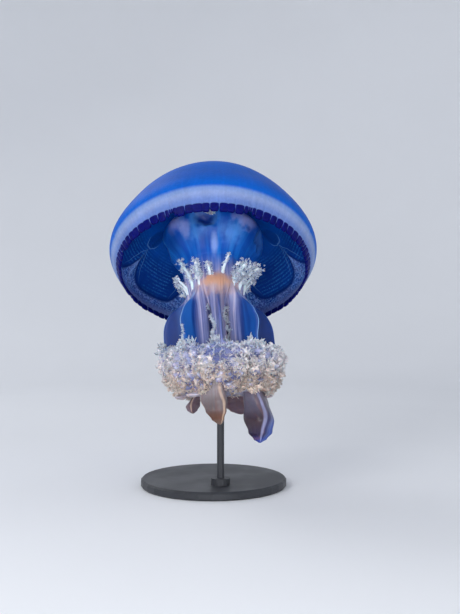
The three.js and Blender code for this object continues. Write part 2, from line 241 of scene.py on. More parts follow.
class Tree:
    """Short ways to add and join nodes in one node tree."""

    def __init__(self, tree):
        self.tree = tree

    def add(self, kind, **settings):
        node = self.tree.nodes.new("ShaderNode" + kind)
        for name, value in settings.items():
            setattr(node, name, value)
        return node

    def feed(self, socket, value):
        if isinstance(value, bpy.types.NodeSocket):
            self.tree.links.new(value, socket)
        elif value is not None:
            socket.default_value = value

    def maths(self, operation, *values):
        node = self.add("Math", operation=operation)
        for socket, value in zip(node.inputs, values):
            self.feed(socket, value)
        return node.outputs[0]

    def times(self, first, second):
        return self.maths("MULTIPLY", first, second)

    def joined(self, x=None, y=None, z=None):
        node = self.add("CombineXYZ")
        for socket, value in zip(node.inputs, (x, y, z)):
            self.feed(socket, value)
        return node.outputs[0]

    def vector(self, operation, *values):
        node = self.add("VectorMath", operation=operation)
        for socket, value in zip(node.inputs, values):
            self.feed(socket, value)
        return node.outputs["Value" if operation == "LENGTH" else "Vector"]

    def span(self, value, low, high, start=0.0, end=1.0):
        """The value's smooth way from `low` to `high`, as start to end."""
        node = self.add("MapRange", interpolation_type="SMOOTHSTEP")
        for name, given in (("Value", value), ("From Min", low), ("From Max", high),
                            ("To Min", start), ("To Max", end)):
            self.feed(node.inputs[name], given)
        return node.outputs["Result"]

    def blend(self, share, first, second):
        node = self.add("Mix", data_type="RGBA")
        self.feed(node.inputs["Factor"], share)
        colours = [socket for socket in node.inputs if socket.type == "RGBA"]
        self.feed(colours[0], first)
        self.feed(colours[1], second)
        return next(socket for socket in node.outputs if socket.type == "RGBA")

    def tint(self, base, factor):
        """The colour times a plain factor."""
        return self.vector("SCALE", base, None, None, factor)

    def ramp(self, value, stops):
        node = self.add("ValToRGB")
        node.color_ramp.interpolation = "EASE"
        elements = node.color_ramp.elements
        while len(elements) < len(stops):
            elements.new(0.5)
        for element, (place, tint) in zip(elements, stops):
            element.position = place
            element.color = tint
        self.feed(node.inputs["Fac"], value)
        return node.outputs["Color"]

    def noise(self, vector, scale, detail=2.0, roughness=0.5, distortion=0.0):
        node = self.add("TexNoise")
        for name, value in (("Vector", vector), ("Scale", scale), ("Detail", detail),
                            ("Roughness", roughness), ("Distortion", distortion)):
            self.feed(node.inputs[name], value)
        return node.outputs[0]

    def mark(self, name, output="Fac"):
        return self.add("Attribute", attribute_name=name).outputs[output]

    def group(self, tree, **values):
        node = self.add("Group", node_tree=tree)
        for name, value in values.items():
            self.feed(node.inputs[name.replace("_", " ")], value)
        return node.outputs[0]

    def parts_of(self, vector):
        node = self.add("SeparateXYZ")
        self.feed(node.inputs[0], vector)
        return node.outputs


def new_group(name, inputs, output, kind):
    """An empty shader group with named inputs as (name, kind, default), and one named output."""
    tree = bpy.data.node_groups.new(name, "ShaderNodeTree")
    for label, socket_kind, default in inputs:
        socket = tree.interface.new_socket(label, in_out="INPUT", socket_type="NodeSocket" + socket_kind)
        if default is not None:
            socket.default_value = default
    tree.interface.new_socket(output, in_out="OUTPUT", socket_type="NodeSocket" + kind)
    source = tree.nodes.new("NodeGroupInput").outputs
    result = tree.nodes.new("NodeGroupOutput").inputs[0]
    return Tree(tree), source, result


def spot_group():
    """A soft-edged patch round a centre: 1 inside, 0 outside."""
    build, given, result = new_group(
        "Soft patch",
        [("Place", "Vector", None), ("Centre", "Vector", None), ("Radii", "Vector", None),
         ("Raggedness", "Float", 0.2)],
        "Mask", "Float",
    )
    offset = build.vector("SUBTRACT", given["Place"], given["Centre"])
    far = build.vector("LENGTH", build.vector("DIVIDE", offset, given["Radii"]))
    ragged = build.maths("SUBTRACT", build.noise(given["Place"], 14.0, 3.0), 0.5)
    edge = build.maths("MULTIPLY_ADD", ragged, given["Raggedness"], far)
    build.feed(result, build.span(edge, 1.1, 0.3))
    return build.tree


def mottle_group():
    """Cloudy light and dark in soft tissue, about 1."""
    build, given, result = new_group(
        "Cloudy tissue",
        [("Place", "Vector", None), ("Size", "Float", 5.0), ("Strength", "Float", 0.3)],
        "Factor", "Float",
    )
    fine = build.times(given["Size"], 6.0)
    broad = build.noise(given["Place"], given["Size"], 3.0, 0.55, 0.4)
    small = build.noise(given["Place"], fine, 2.0, 0.6)
    both = build.maths("MULTIPLY_ADD", small, 0.35, broad)
    centred = build.maths("SUBTRACT", both, 0.675)
    build.feed(result, build.maths("MULTIPLY_ADD", centred, given["Strength"], 1.0))
    return build.tree


def fibre_group():
    """Fine streaks that run down the column and spread with it: 0 to 1."""
    build, given, result = new_group(
        "Fibres",
        [("Place", "Vector", None), ("Count", "Float", 8.0), ("Stretch", "Float", 1.2)],
        "Streaks", "Float",
    )
    x, y, height = build.parts_of(given["Place"])
    about = build.vector("NORMALIZE", build.joined(x, y))
    wide = build.vector("SCALE", about, None, None, given["Count"])
    down = build.joined(z=build.times(height, given["Stretch"]))
    build.feed(result, build.noise(build.vector("ADD", wide, down), 1.0, 3.0, 0.6))
    return build.tree


def bell_frame_group():
    """Places in the bell's own frame, as shares of its radius, from an object's places."""
    build, given, result = new_group("Bell frame", [("Place", "Vector", None)], "Place", "Vector")
    turned = build.add("Mapping", vector_type="TEXTURE")
    build.feed(turned.inputs["Vector"], given["Place"])
    turned.inputs["Location"].default_value = MOUTH
    turned.inputs["Rotation"].default_value = (rad(-BELL_TILT), rad(BELL_ROLL), 0)
    turned.inputs["Scale"].default_value = (BELL_RADIUS,) * 3
    build.feed(result, turned.outputs[0])
    return build.tree


SPOT = spot_group()
MOTTLE = mottle_group()
FIBRES = fibre_group()
BELL_FRAME = bell_frame_group()


def new_material(name, **settings):
    """A material with a principled shader whose even values are set straight on its sockets."""
    material = bpy.data.materials.new(name)
    material.use_nodes = True
    build = Tree(material.node_tree)
    shader = material.node_tree.nodes["Principled BSDF"]
    for label, value in settings.items():
        shader.inputs[label.replace("_", " ")].default_value = value
    return material, build, shader


def bump(build, shader, height, strength, distance):
    node = build.add("Bump")
    node.inputs["Strength"].default_value = strength
    node.inputs["Distance"].default_value = distance
    build.feed(node.inputs["Height"], height)
    build.feed(shader.inputs["Normal"], node.outputs[0])


JELLY = dict(
    Coat_Weight=0.08, Coat_Roughness=0.2, Specular_IOR_Level=0.25,
    Subsurface_Weight=0.3, Subsurface_Radius=(0.35, 0.7, 1.0), Subsurface_Scale=0.007,
)


# ---------------------------------------------------------------- bell
OUTER_POINTS = [(0.905, 0), (1, 0.205), (0.872, 0.522), (0.688, 0.788), (0.435, 0.991), (0, 1.085)]
INNER_POINTS = [(0.888, 0), (0.955, 0.205), (0.8, 0.47), (0.6, 0.655), (0.34, 0.775), (0, 0.81)]
CROWN = len(OUTER_POINTS) - 1  # steps from the mouth to the crown
LAPPET_ROOT = 0.24  # step where the lappets spring from the wall
LAPPET_DROP = 0.03  # how far they hang below the mouth's plane
RIM_STEP = 0.226  # length of the outer wall's first step
SHALLOW_SHARE = 0.14  # of the slits between broad lappets
SHALLOW_SLIT = 0.85  # where a full slit has 1
OCTANTS = 8
OCTANT = FULL_TURN / OCTANTS
BROAD_LAPPETS = 8  # to an octant, between two narrow ones beside the sense organs
NOTCH = rad(1.1)
NARROW = rad(2.2)
BROAD = (OCTANT - 2 * (NOTCH + NARROW)) / BROAD_LAPPETS
BROAD_COLUMNS = (0, 0.06, 0.14, 0.3, 0.5, 0.7, 0.86, 0.94)
NARROW_COLUMNS = (0, 0.16, 0.38, 0.62, 0.84)
NOTCH_COLUMNS = (0, 0.5)
DOME_ROWS = 36
RIM_ROWS = 9
LAPPET_ROWS = 8
INNER_RIM_ROWS = 7
VAULT_ROWS = 56
SLIT_REACH = 0.3  # how far the margin reaches in a slit, of a lappet's length
NOTCH_REACH = 0.45


def mirrored_crown(points):
    """The outline's points, with one past the crown so that the outline crosses the axis level."""
    return [Vector(point) for point in points] + [Vector((-points[-2][0], points[-2][1]))]


OUTER = mirrored_crown(OUTER_POINTS)
INNER = mirrored_crown(INNER_POINTS)


@lru_cache(maxsize=None)
def wall_point(side, step):
    """A point of the outer (0) or inner (1) wall's outline. Below step 0 the wall goes straight on."""
    points = INNER if side else OUTER
    if step >= 0:
        return curve_point(points, min(step, CROWN))
    return points[0] + (points[0] - points[1]) * -step


def margin_columns():
    """One entry for each column round the bell: its turn, how near it lies to a slit (0 to 1), the
    margin's reach there, and how much its lappet is swayed and curled."""
    columns = []
    for octant in range(OCTANTS):
        start = (octant - 0.5) * OCTANT
        slots = [(NOTCH, NOTCH_COLUMNS, "notch"), (NARROW, NARROW_COLUMNS, "narrow")]
        slots += [(BROAD, BROAD_COLUMNS, "broad")] * BROAD_LAPPETS
        slots += [(NARROW, NARROW_COLUMNS, "narrow"), (NOTCH, NOTCH_COLUMNS, "notch")]
        widths = [width * (dice.uniform(0.8, 1.2) if kind == "broad" else 1) for width, _, kind in slots]
        fit = OCTANT / sum(widths)
        depths = [SHALLOW_SLIT if kind == "broad" and dice.random() < SHALLOW_SHARE else 1
                  for _, _, kind in slots]
        for place, ((_, shares, kind), width) in enumerate(zip(slots, widths)):
            width *= fit
            beside = (depths[place], depths[min(place + 1, len(slots) - 1)])
            longer, sway, curl = dice.uniform(0.92, 1.04), dice.uniform(-1, 1), dice.uniform(-1, 1)
            for share in shares:
                slit = abs(2 * share - 1) * beside[share > 0.5]
                full = (0.86 if kind == "narrow" else 1.0) * longer
                reach = mix(full, SLIT_REACH, slit ** (9 if kind == "broad" else 4))
                if kind == "notch":
                    reach = NOTCH_REACH
                columns.append((start + share * width, slit, reach, sway, curl))
            start += width
    return columns


def bell_rows():
    """One entry for each point of the wall's outline from the crown down and up again: the step, the
    side (0 outer, 1 inner) and the share of a lappet's length (None off the lappets)."""
    dome = [(mix(CROWN, 1, i / DOME_ROWS), 0, None) for i in range(DOME_ROWS)]
    rim = [(mix(1, LAPPET_ROOT, i / RIM_ROWS), 0, None) for i in range(RIM_ROWS)]
    lappet = [(LAPPET_ROOT, 0, i / LAPPET_ROWS) for i in range(LAPPET_ROWS + 1)]
    tip_and_shade = [(LAPPET_ROOT, 0.5, 1.0)]
    inside = [(step, 1, share) for step, _, share in reversed(lappet)]
    inner_rim = [(mix(LAPPET_ROOT, 1, (i + 1) / INNER_RIM_ROWS), 1, None) for i in range(INNER_RIM_ROWS)]
    vault = [(mix(1, CROWN, (i + 1) / VAULT_ROWS), 1, None) for i in range(VAULT_ROWS)]
    return dome + rim + lappet + tip_and_shade + inside + inner_rim + vault


MARGIN_COLUMNS = margin_columns()
BELL_ROWS = bell_rows()


def bell_corner(column, row):
    turn, slit, reach, sway, curl = MARGIN_COLUMNS[column]
    step, side, share = BELL_ROWS[row]
    hang = 0.0
    if share is None:
        place = wall_point(side, step)
        furrow = smooth(0.9, LAPPET_ROOT, step) * slit ** 6
    else:
        hang = share * reach
        step = LAPPET_ROOT - hang * (LAPPET_ROOT + LAPPET_DROP / RIM_STEP)
        outer, inner = wall_point(0, step), wall_point(1, step)
        place = outer.lerp(inner, side)
        furrow = slit ** 6
        if side == 0.5:
            place = place + (outer - wall_point(0, step + 0.1)).normalized() * 0.012
        turn += rad(0.3) * sway * hang ** 2
    out, height = place
    out += curl * hang ** 2 * 0.6 * MILLIMETRE
    puff = smooth(0.7, 0.1, step) * (1 - furrow) * 0.8 * MILLIMETRE
    out += puff * (1 - 2 * side)
    notch = 1 - abs(math.cos(OCTANTS / 2 * turn))  # 0 in an octant's middle, 1 at a sense organ
    if side == 0:
        # soft jelly: the crown is faintly uneven, with a shallow crease above each sense organ
        swell = math.sin(3 * turn + 1.1) * math.sin(2.2 * step) + 0.6 * math.sin(5 * turn - 2 * step)
        out *= 1 + 0.0035 * swell * smooth(1, 2, step)
        out -= 0.008 * notch ** 24 * smooth(1.2, 0.6, step) * (hang == 0)
    if side == 1 and share is None:
        # the vault has low folds that run to the sense organs, and rings of muscle
        fold = notch ** 6 * smooth(0.9, 1.6, step) * smooth(4.8, 3.5, step)
        rings = math.sin(step * 19) * smooth(1.2, 1.5, step) * smooth(3.2, 2.6, step)
        out *= 1 - 0.02 * fold
        height += 0.0022 * rings
    return in_bell(out, turn, height), (slit, hang, side, step)


def bell_skin():
    bm = grid_skin(len(MARGIN_COLUMNS), len(BELL_ROWS) - 1, bell_corner,
                   ("slit", "hang", "inside", "step"))
    nodes = ["bell_dome"] + [f"bell_margin_{octant + 1}" for octant in range(OCTANTS)]
    add_piece("bell_skin", [bm], bell_material(), nodes)


def bell_material():
    settings = dict(JELLY, Roughness=0.5, Coat_Weight=0.01, Specular_IOR_Level=0.08,
                    Subsurface_Scale=0.004)
    material, build, shader = new_material("Bell jelly", **settings)
    position = build.add("TexCoord").outputs["Object"]
    place = build.group(BELL_FRAME, Place=position)
    x, y, _ = build.parts_of(place)
    turn = build.maths("ARCTAN2", x, build.times(y, -1.0))
    step, slit = build.mark("step"), build.mark("slit")
    hang, inside = build.mark("hang"), build.mark("inside")
    cloudy = build.group(MOTTLE, Place=place, Size=2.2, Strength=0.45)

    # outside: an azure crown and a pale lilac band above the margin, widest on the near side
    sideways = build.maths("MULTIPLY_ADD", build.maths("COSINE", turn), -0.3, 1.3)
    share = build.maths("DIVIDE", build.times(step, sideways), float(CROWN))
    crown = build.ramp(share, [
        (0.00, colour(72, 104, 178)), (0.05, colour(96, 122, 182)), (0.12, colour(128, 146, 190)),
        (0.15, colour(114, 140, 190)), (0.19, colour(4, 88, 186)), (0.33, colour(0, 80, 178)),
        (0.62, colour(0, 86, 184)), (1.00, colour(0, 92, 190)),
    ])

    # inside: a pale stippled zone at the margin, a dark canal, then blue fields of ring muscle
    octant_share = build.maths("DIVIDE", turn, OCTANT)
    nearest = build.maths("ROUND", octant_share)
    from_middle = build.maths("ABSOLUTE", build.maths("SUBTRACT", octant_share, nearest))
    to_organ = build.times(from_middle, 2.0)  # 0 in an octant's middle, 1 at a sense organ
    receding = build.maths("POWER", to_organ, 4.0)
    border = build.maths("MULTIPLY_ADD", receding, 0.8, 1.14)
    past = build.maths("SUBTRACT", step, border)
    stipple = build.noise(place, 58.0, 2.0, 0.7)
    veil = build.span(build.noise(place, 7.0, 3.0, 0.6), 0.4, 0.62)
    pale = build.blend(build.span(stipple, 0.42, 0.62), colour(8, 62, 150), colour(110, 156, 222))
    by_margin = build.times(build.span(step, 1.0, 0.3), 0.6)
    pale = build.blend(build.maths("MAXIMUM", by_margin, build.times(veil, 0.25)), pale,
                       colour(146, 156, 206))
    rings = build.maths("SINE", build.times(step, 58.0))
    broken = build.noise(place, 60.0, 2.0, 0.6)
    patchy = build.span(build.noise(place, 5.0, 2.0), 0.35, 0.6)
    rows = build.times(build.span(rings, -0.5, 0.8), build.span(broken, 0.35, 0.65))
    rows = build.times(rows, patchy)
    field = build.blend(rows, colour(4, 60, 146), colour(40, 116, 198))
    deep = build.blend(build.span(step, 1.9, 3.0), field, colour(6, 92, 196))
    canal = build.blend(build.span(past, 0.0, 0.16), colour(4, 44, 118), deep)
    wall = build.blend(build.span(past, -0.14, 0.0), pale, canal)

    # thin pale lines: a spoke to each sense organ, a V below it, and a rounded window in each V
    beside = build.maths("SUBTRACT", 1.0, to_organ)
    wavy = build.maths("MULTIPLY_ADD", build.noise(place, 9.0, 2.0), 0.24, -0.12)

    def line(value, middle, half):
        off = build.maths("ABSOLUTE", build.maths("SUBTRACT", value, middle))
        return build.span(off, half, 0.0)

    fork = build.maths("MULTIPLY_ADD", beside, 2.4, build.maths("ADD", step, wavy))
    on_fork = build.times(line(fork, 2.35, 0.045), build.span(beside, 0.5, 0.2))
    below = build.maths("SUBTRACT", step, 2.85)
    round_window = build.joined(build.times(beside, 1.35), build.maths("ADD", below, wavy))
    from_window = build.vector("LENGTH", round_window)
    wall = build.blend(build.times(build.span(from_window, 0.46, 0.3), 0.5), wall,
                       colour(4, 44, 120))
    rim = build.times(line(from_window, 0.42, 0.04), build.span(below, 0.0, -0.3))
    spoke = build.times(build.span(to_organ, 0.96, 1.0), build.span(step, 2.4, 1.9))
    lines = build.maths("MAXIMUM", build.maths("MAXIMUM", on_fork, rim), build.times(spoke, 0.6))
    wall = build.blend(build.times(lines, 0.5), wall, colour(120, 180, 236))

    skin = build.blend(inside, crown, wall)

    # violet pigment fills each lappet up to a thin clear edge
    middle = build.span(slit, 0.99, 0.88)
    rounded = build.maths("MULTIPLY_ADD", build.maths("POWER", slit, 3.0), 0.1, 0.16)
    below_root = build.span(build.maths("SUBTRACT", hang, rounded), 0.0, 0.08)
    pigment = build.times(middle, below_root)
    blotch = build.noise(place, 40.0, 2.0, 0.6)
    violet = build.blend(blotch, colour(0, 0, 62), colour(0, 12, 112))
    skin = build.blend(pigment, skin, violet)

    # faint warts and radial streaks over the crown
    warts = build.span(build.noise(place, 42.0, 2.0, 0.6), 0.45, 0.62)
    streaks = build.group(FIBRES, Place=place, Count=26.0, Stretch=0.6)
    grain = build.maths("MULTIPLY_ADD", streaks, 0.28, 0.86)
    grain = build.maths("MULTIPLY_ADD", warts, 0.07, grain)
    build.feed(shader.inputs["Base Color"], build.tint(skin, build.times(cloudy, grain)))
    relief = build.blend(inside, warts, rows)
    bump(build, shader, relief, 0.22, 0.0005)
    return material


# ---------------------------------------------------------------- column, disc and arms in one skin
DISC_TOP = 0.43
DISC_OUT = 0.44  # the flat top's radius
DISC_POINTS = [Vector(point) for point in (
    (DISC_OUT, DISC_TOP), (0.487, 0.4), (0.498, 0.36), (0.485, 0.31), (0.43, 0.23), (0.355, 0.13),
    (0.315, 0.05), (0.296, -0.01),
)]
NECK_RADIUS = [(-0.01, 0.296), (0.11, 0.284), (0.2, 0.27), (0.3, 0.27), (0.5, 0.3)]
BLADE_REACH = [(0.1, 0.255), (0.2, 0.262), (0.3, 0.32), (0.46, 0.45), (0.58, 0.505), (0.75, 0.515)]
BLADE_EDGE = 0.014  # half thickness
BODY_REACH = 0.2  # the thick inner part of an arm
RIDGE_REACH = 0.3  # where it has thinned to the blade
SIDE_GAP = 0.012
FRILL_GIRTH = [(0.76, 0.9), (0.82, 1), (0.94, 1.02), (1.04, 0.97), (1.12, 0.86), (1.2, 0.66)]
WING_ROOT = 0.108  # where the frilled wings spring from, which their girth doesn't move
WING_POINTS = [(0.14, 0.03), (0.26, 0.06), (0.4, 0.13), (0.5, 0.17), (0.505, 0.1), (0.5, 0)]
ARM_END = 1.19
HALF_ARM = 18  # columns from a gap to an arm's middle
OUTLINE_STEPS = 6  # of half an arm's outline
HALVINGS = 24  # of the search for a height on the disc's outline
TOP_ROWS = 7
SIDE_ROWS = 56
ARM_ROWS = 136
END_ROWS = 6
FRONT_ARMS = (0, 1, 7)  # slimmer just above their frills
COLUMN_SKIN = 2 * HALF_ARM * ARM_COUNT
PORTICUS_TURN = rad(-9)  # the first of the four openings under the stomach
KNOB_TURN = rad(5)
KNOB_DROP = 0.245
BLADE_CLEARNESS = 0.04  # how see-through the thin blades are


@lru_cache(maxsize=None)
def half_outline(drop):
    """Control points (out, across) from the gap beside an arm to the middle of its outer side."""
    neck = flowing(NECK_RADIUS, drop)
    round_points = [Vector((neck * math.cos(t), neck * math.sin(t)))
                    for t in (mix(SECTOR, 0, i / OUTLINE_STEPS) for i in range(OUTLINE_STEPS + 1))]
    star = smooth(0.22, 0.46, drop)
    if not star:
        return round_points
    reach = flowing(BLADE_REACH, drop)
    gap = flowing([(0.2, 0.24), (0.5, 0.14), (0.75, 0.12), (1.0, 0.13)], drop)
    tan = math.tan(SECTOR)
    ridge = min(RIDGE_REACH, reach - 2 * BLADE_EDGE)
    apart = along([(0.3, SIDE_GAP), (0.5, 0.021), (0.72, 0.02), (0.82, SIDE_GAP)], drop)
    blade_points = [Vector(point) for point in (
        (gap * math.cos(SECTOR), gap * math.sin(SECTOR)),
        (0.155, 0.155 * tan - apart),
        (BODY_REACH, BODY_REACH * tan - apart),
        (ridge, 2.2 * BLADE_EDGE),
        (mix(ridge, reach, 0.6), 1.15 * BLADE_EDGE),
        (reach - 0.6 * BLADE_EDGE, 0.75 * BLADE_EDGE),
        (reach, 0),
    )]
    girth = flowing(FRILL_GIRTH, drop)
    wing_points = [blade_points[0]]
    for out, across in WING_POINTS:
        out = mix(WING_ROOT, out, girth)
        wing_points.append(Vector((out, min(across * girth, out * tan - SIDE_GAP))))
    wing = smooth(0.75, 0.85, drop)
    lower = [blade.lerp(winged, wing) for blade, winged in zip(blade_points, wing_points)]
    return [above.lerp(below, star) for above, below in zip(round_points, lower)]


@lru_cache(maxsize=None)
def arm_section(drop, share):
    """(out, across) on an arm's outline, from -1 in the gap on its left to 1 in the gap on its right."""
    point = curve_point(half_outline(drop), OUTLINE_STEPS * (1 - abs(share)))
    return point.x, math.copysign(point.y, share)


def floret(place):
    """0 in the creases between rounded cells, 1 on their crowns."""
    near, after = noise.voronoi(place)[0][:2]
    return smooth(0.0, 0.32, after - near)


def arm_skin_point(arm, share, drop):
    """(out, across, crease) with the ribs, the knob and the florets of the frilled part."""
    out, across = arm_section(drop, share)
    turn = arm_turn(arm)
    about = turn + math.atan2(across, out)
    ribs = math.sin(26 * abs(share) + 1.3 * arm) * smooth(0.1, 0.3, drop) * smooth(0.8, 0.6, drop)
    out += 0.004 * ribs * hump(abs(share), 0.55, 0.5)
    from_knob = (about - KNOB_TURN + math.pi) % FULL_TURN - math.pi
    out += 0.045 * hump(drop, KNOB_DROP, 0.105) * hump(from_knob, 0, rad(46))
    if arm in FRONT_ARMS:
        out *= 1 - 0.09 * smooth(0.52, 0.72, drop) * smooth(0.86, 0.74, drop) * smooth(0.3, 0.45, out)
    frilled = smooth(0.76, 0.84, drop)
    crease = 0.0
    if frilled:
        place = in_bell(out, about, -drop)
        broad, small = floret(place * 5.2), floret(place * 13)
        swell = (0.13 * broad + 0.05 * small - 0.12) * frilled * smooth(0.15, 0.4, out)
        out, across = out * (1 + swell), across * (1 + swell)
        crease = 1 - broad * (0.35 + 0.65 * small)
    return out, across, crease


@lru_cache(maxsize=None)
def disc_radius(height):
    low, high = 0, len(DISC_POINTS) - 1
    for _ in range(HALVINGS):
        middle = (low + high) / 2
        if curve_point(DISC_POINTS, middle).y > height:
            low = middle
        else:
            high = middle
    return curve_point(DISC_POINTS, low).x


def disc_out(turn, height):
    """The oral disc's and the neck's distance from the axis, hollowed at the four openings."""
    nearest = abs((turn - PORTICUS_TURN + math.pi / 4) % (math.pi / 2) - math.pi / 4)
    ragged = 0.02 * noise.noise(in_bell(6, turn, 14 * height))
    hollow = hump(nearest, 0, rad(20)) * hump(height + ragged, 0.31, 0.1)
    strap = hump(nearest, math.pi / 4, rad(26)) * smooth(0.03, 0.2, height) * smooth(0.43, 0.3, height)
    folds = 0.006 * noise.noise(in_bell(5, turn, 2 * height)) * smooth(0.0, 0.1, height)
    return disc_radius(height) - 0.09 * hollow + 0.02 * strap + folds


def column_rows():
    """The skin's rows from the middle of the disc's top down to the closed lower end: (drop, girth)."""
    top = [(-DISC_TOP, DISC_OUT * i / TOP_ROWS) for i in range(TOP_ROWS + 1)]
    side = [(mix(-DISC_TOP, 0, (i + 1) / SIDE_ROWS), None) for i in range(SIDE_ROWS)]
    arms = [(mix(0, ARM_END, (i + 1) / ARM_ROWS), 1.0) for i in range(ARM_ROWS)]
    end = [(ARM_END + 0.012 * math.sin(i / END_ROWS * math.pi / 2), 1 - (i / END_ROWS) ** 1.5)
           for i in range(1, END_ROWS + 1)]
    return top + side + arms + end


COLUMN_ROWS = column_rows()
COLUMN_MARKS = ("unbent", "wing", "edge", "clear", "crease")


def column_corner(column, row):
    drop, girth = COLUMN_ROWS[row]
    arm, place = divmod(column, 2 * HALF_ARM)
    share = place / HALF_ARM - 1
    turn = arm_turn(arm)
    if drop <= 0:
        about = turn + share * SECTOR
        out = girth if girth is not None else disc_out(about, -drop)
        return on_column(out, about, drop), (in_bell(out, about, -drop), 0, 0, 0, 0)
    out, across, crease = arm_skin_point(arm, share, min(drop, ARM_END))
    out, across = out * girth, across * girth
    glassy = smooth(0.3, 0.4, drop) * smooth(0.82, 0.77, drop)
    clear = smooth(0.25, 0.33, out) * glassy
    wing = clear * (0.2 if arm == 0 else 1)
    edge = smooth(0.13, 0.02, abs(share)) * smooth(0.27, 0.33, drop) * smooth(0.82, 0.77, drop)
    marks = (unbent(out, across, turn, drop), wing, edge * (0 if arm == 0 else 1), clear - edge, crease)
    return on_arm(out, across, turn, drop), marks


PILLAR_OUT = 0.37
PILLAR_DEPTH = 0.055  # half its thickness away from the axis
PILLAR_WIDTH = 0.115
PILLAR_TOP = 0.72
PILLAR_COLUMNS = 28
PILLAR_ROWS = 16
PILLAR_SWELL = [(0, 1.7), (0.25, 1.0), (0.7, 1.0), (1, 1.8)]


def pillar(index):
    """One of the four props between the disc and the bell's ceiling."""
    turn = math.pi / 4 + index * math.pi / 2

    def corner(angle, share, closing):
        swell = along(PILLAR_SWELL, share) * closing
        out = PILLAR_OUT + PILLAR_DEPTH * swell * math.cos(angle)
        across = PILLAR_WIDTH * swell * math.sin(angle)
        height = mix(DISC_TOP - 0.02, PILLAR_TOP, share)
        return on_arm(out, across, turn, -height), (unbent(out, across, turn, -height), 0, 0, 0, 0)

    return closed_tube(PILLAR_COLUMNS, PILLAR_ROWS, corner, COLUMN_MARKS)


def column_skin():
    parts = [grid_skin(COLUMN_SKIN, len(COLUMN_ROWS) - 1, column_corner, COLUMN_MARKS)]
    parts += [pillar(index) for index in range(4)]
    nodes = ["oral_disc", "manubrium"]
    nodes += [f"gastric_pillar_{index + 1}" for index in range(4)]
    nodes += [f"arm_blade_{arm + 1}" for arm in range(ARM_COUNT)]
    add_piece("column_skin", parts, column_material(), nodes)


STOMACH_PATCHES = [
    # clouds and the stripe showing through the disc: colour, place (out, turn in degrees, height),
    # radii, raggedness and strength
    ((164, 168, 220), (0.46, -46, 0.34), (0.12, 0.14, 0.11), 0.9, 0.6),
    ((160, 170, 224), (0.44, -35, 0.24), (0.06, 0.1, 0.13), 0.8, 0.5),
    ((172, 172, 220), (0.47, 40, 0.34), (0.2, 0.17, 0.12), 1.2, 0.6),
    ((90, 160, 236), (0.40, 28, 0.2), (0.14, 0.12, 0.14), 1.2, 0.5),
    ((90, 160, 236), (0.42, -22, 0.18), (0.1, 0.12, 0.1), 1.2, 0.4),
    ((14, 52, 132), (0.45, 47, 0.27), (0.035, 0.05, 0.03), 1.2, 0.8),
    ((150, 176, 236), (0.34, 3, 0.07), (0.04, 0.12, 0.14), 0.5, 0.7),
]


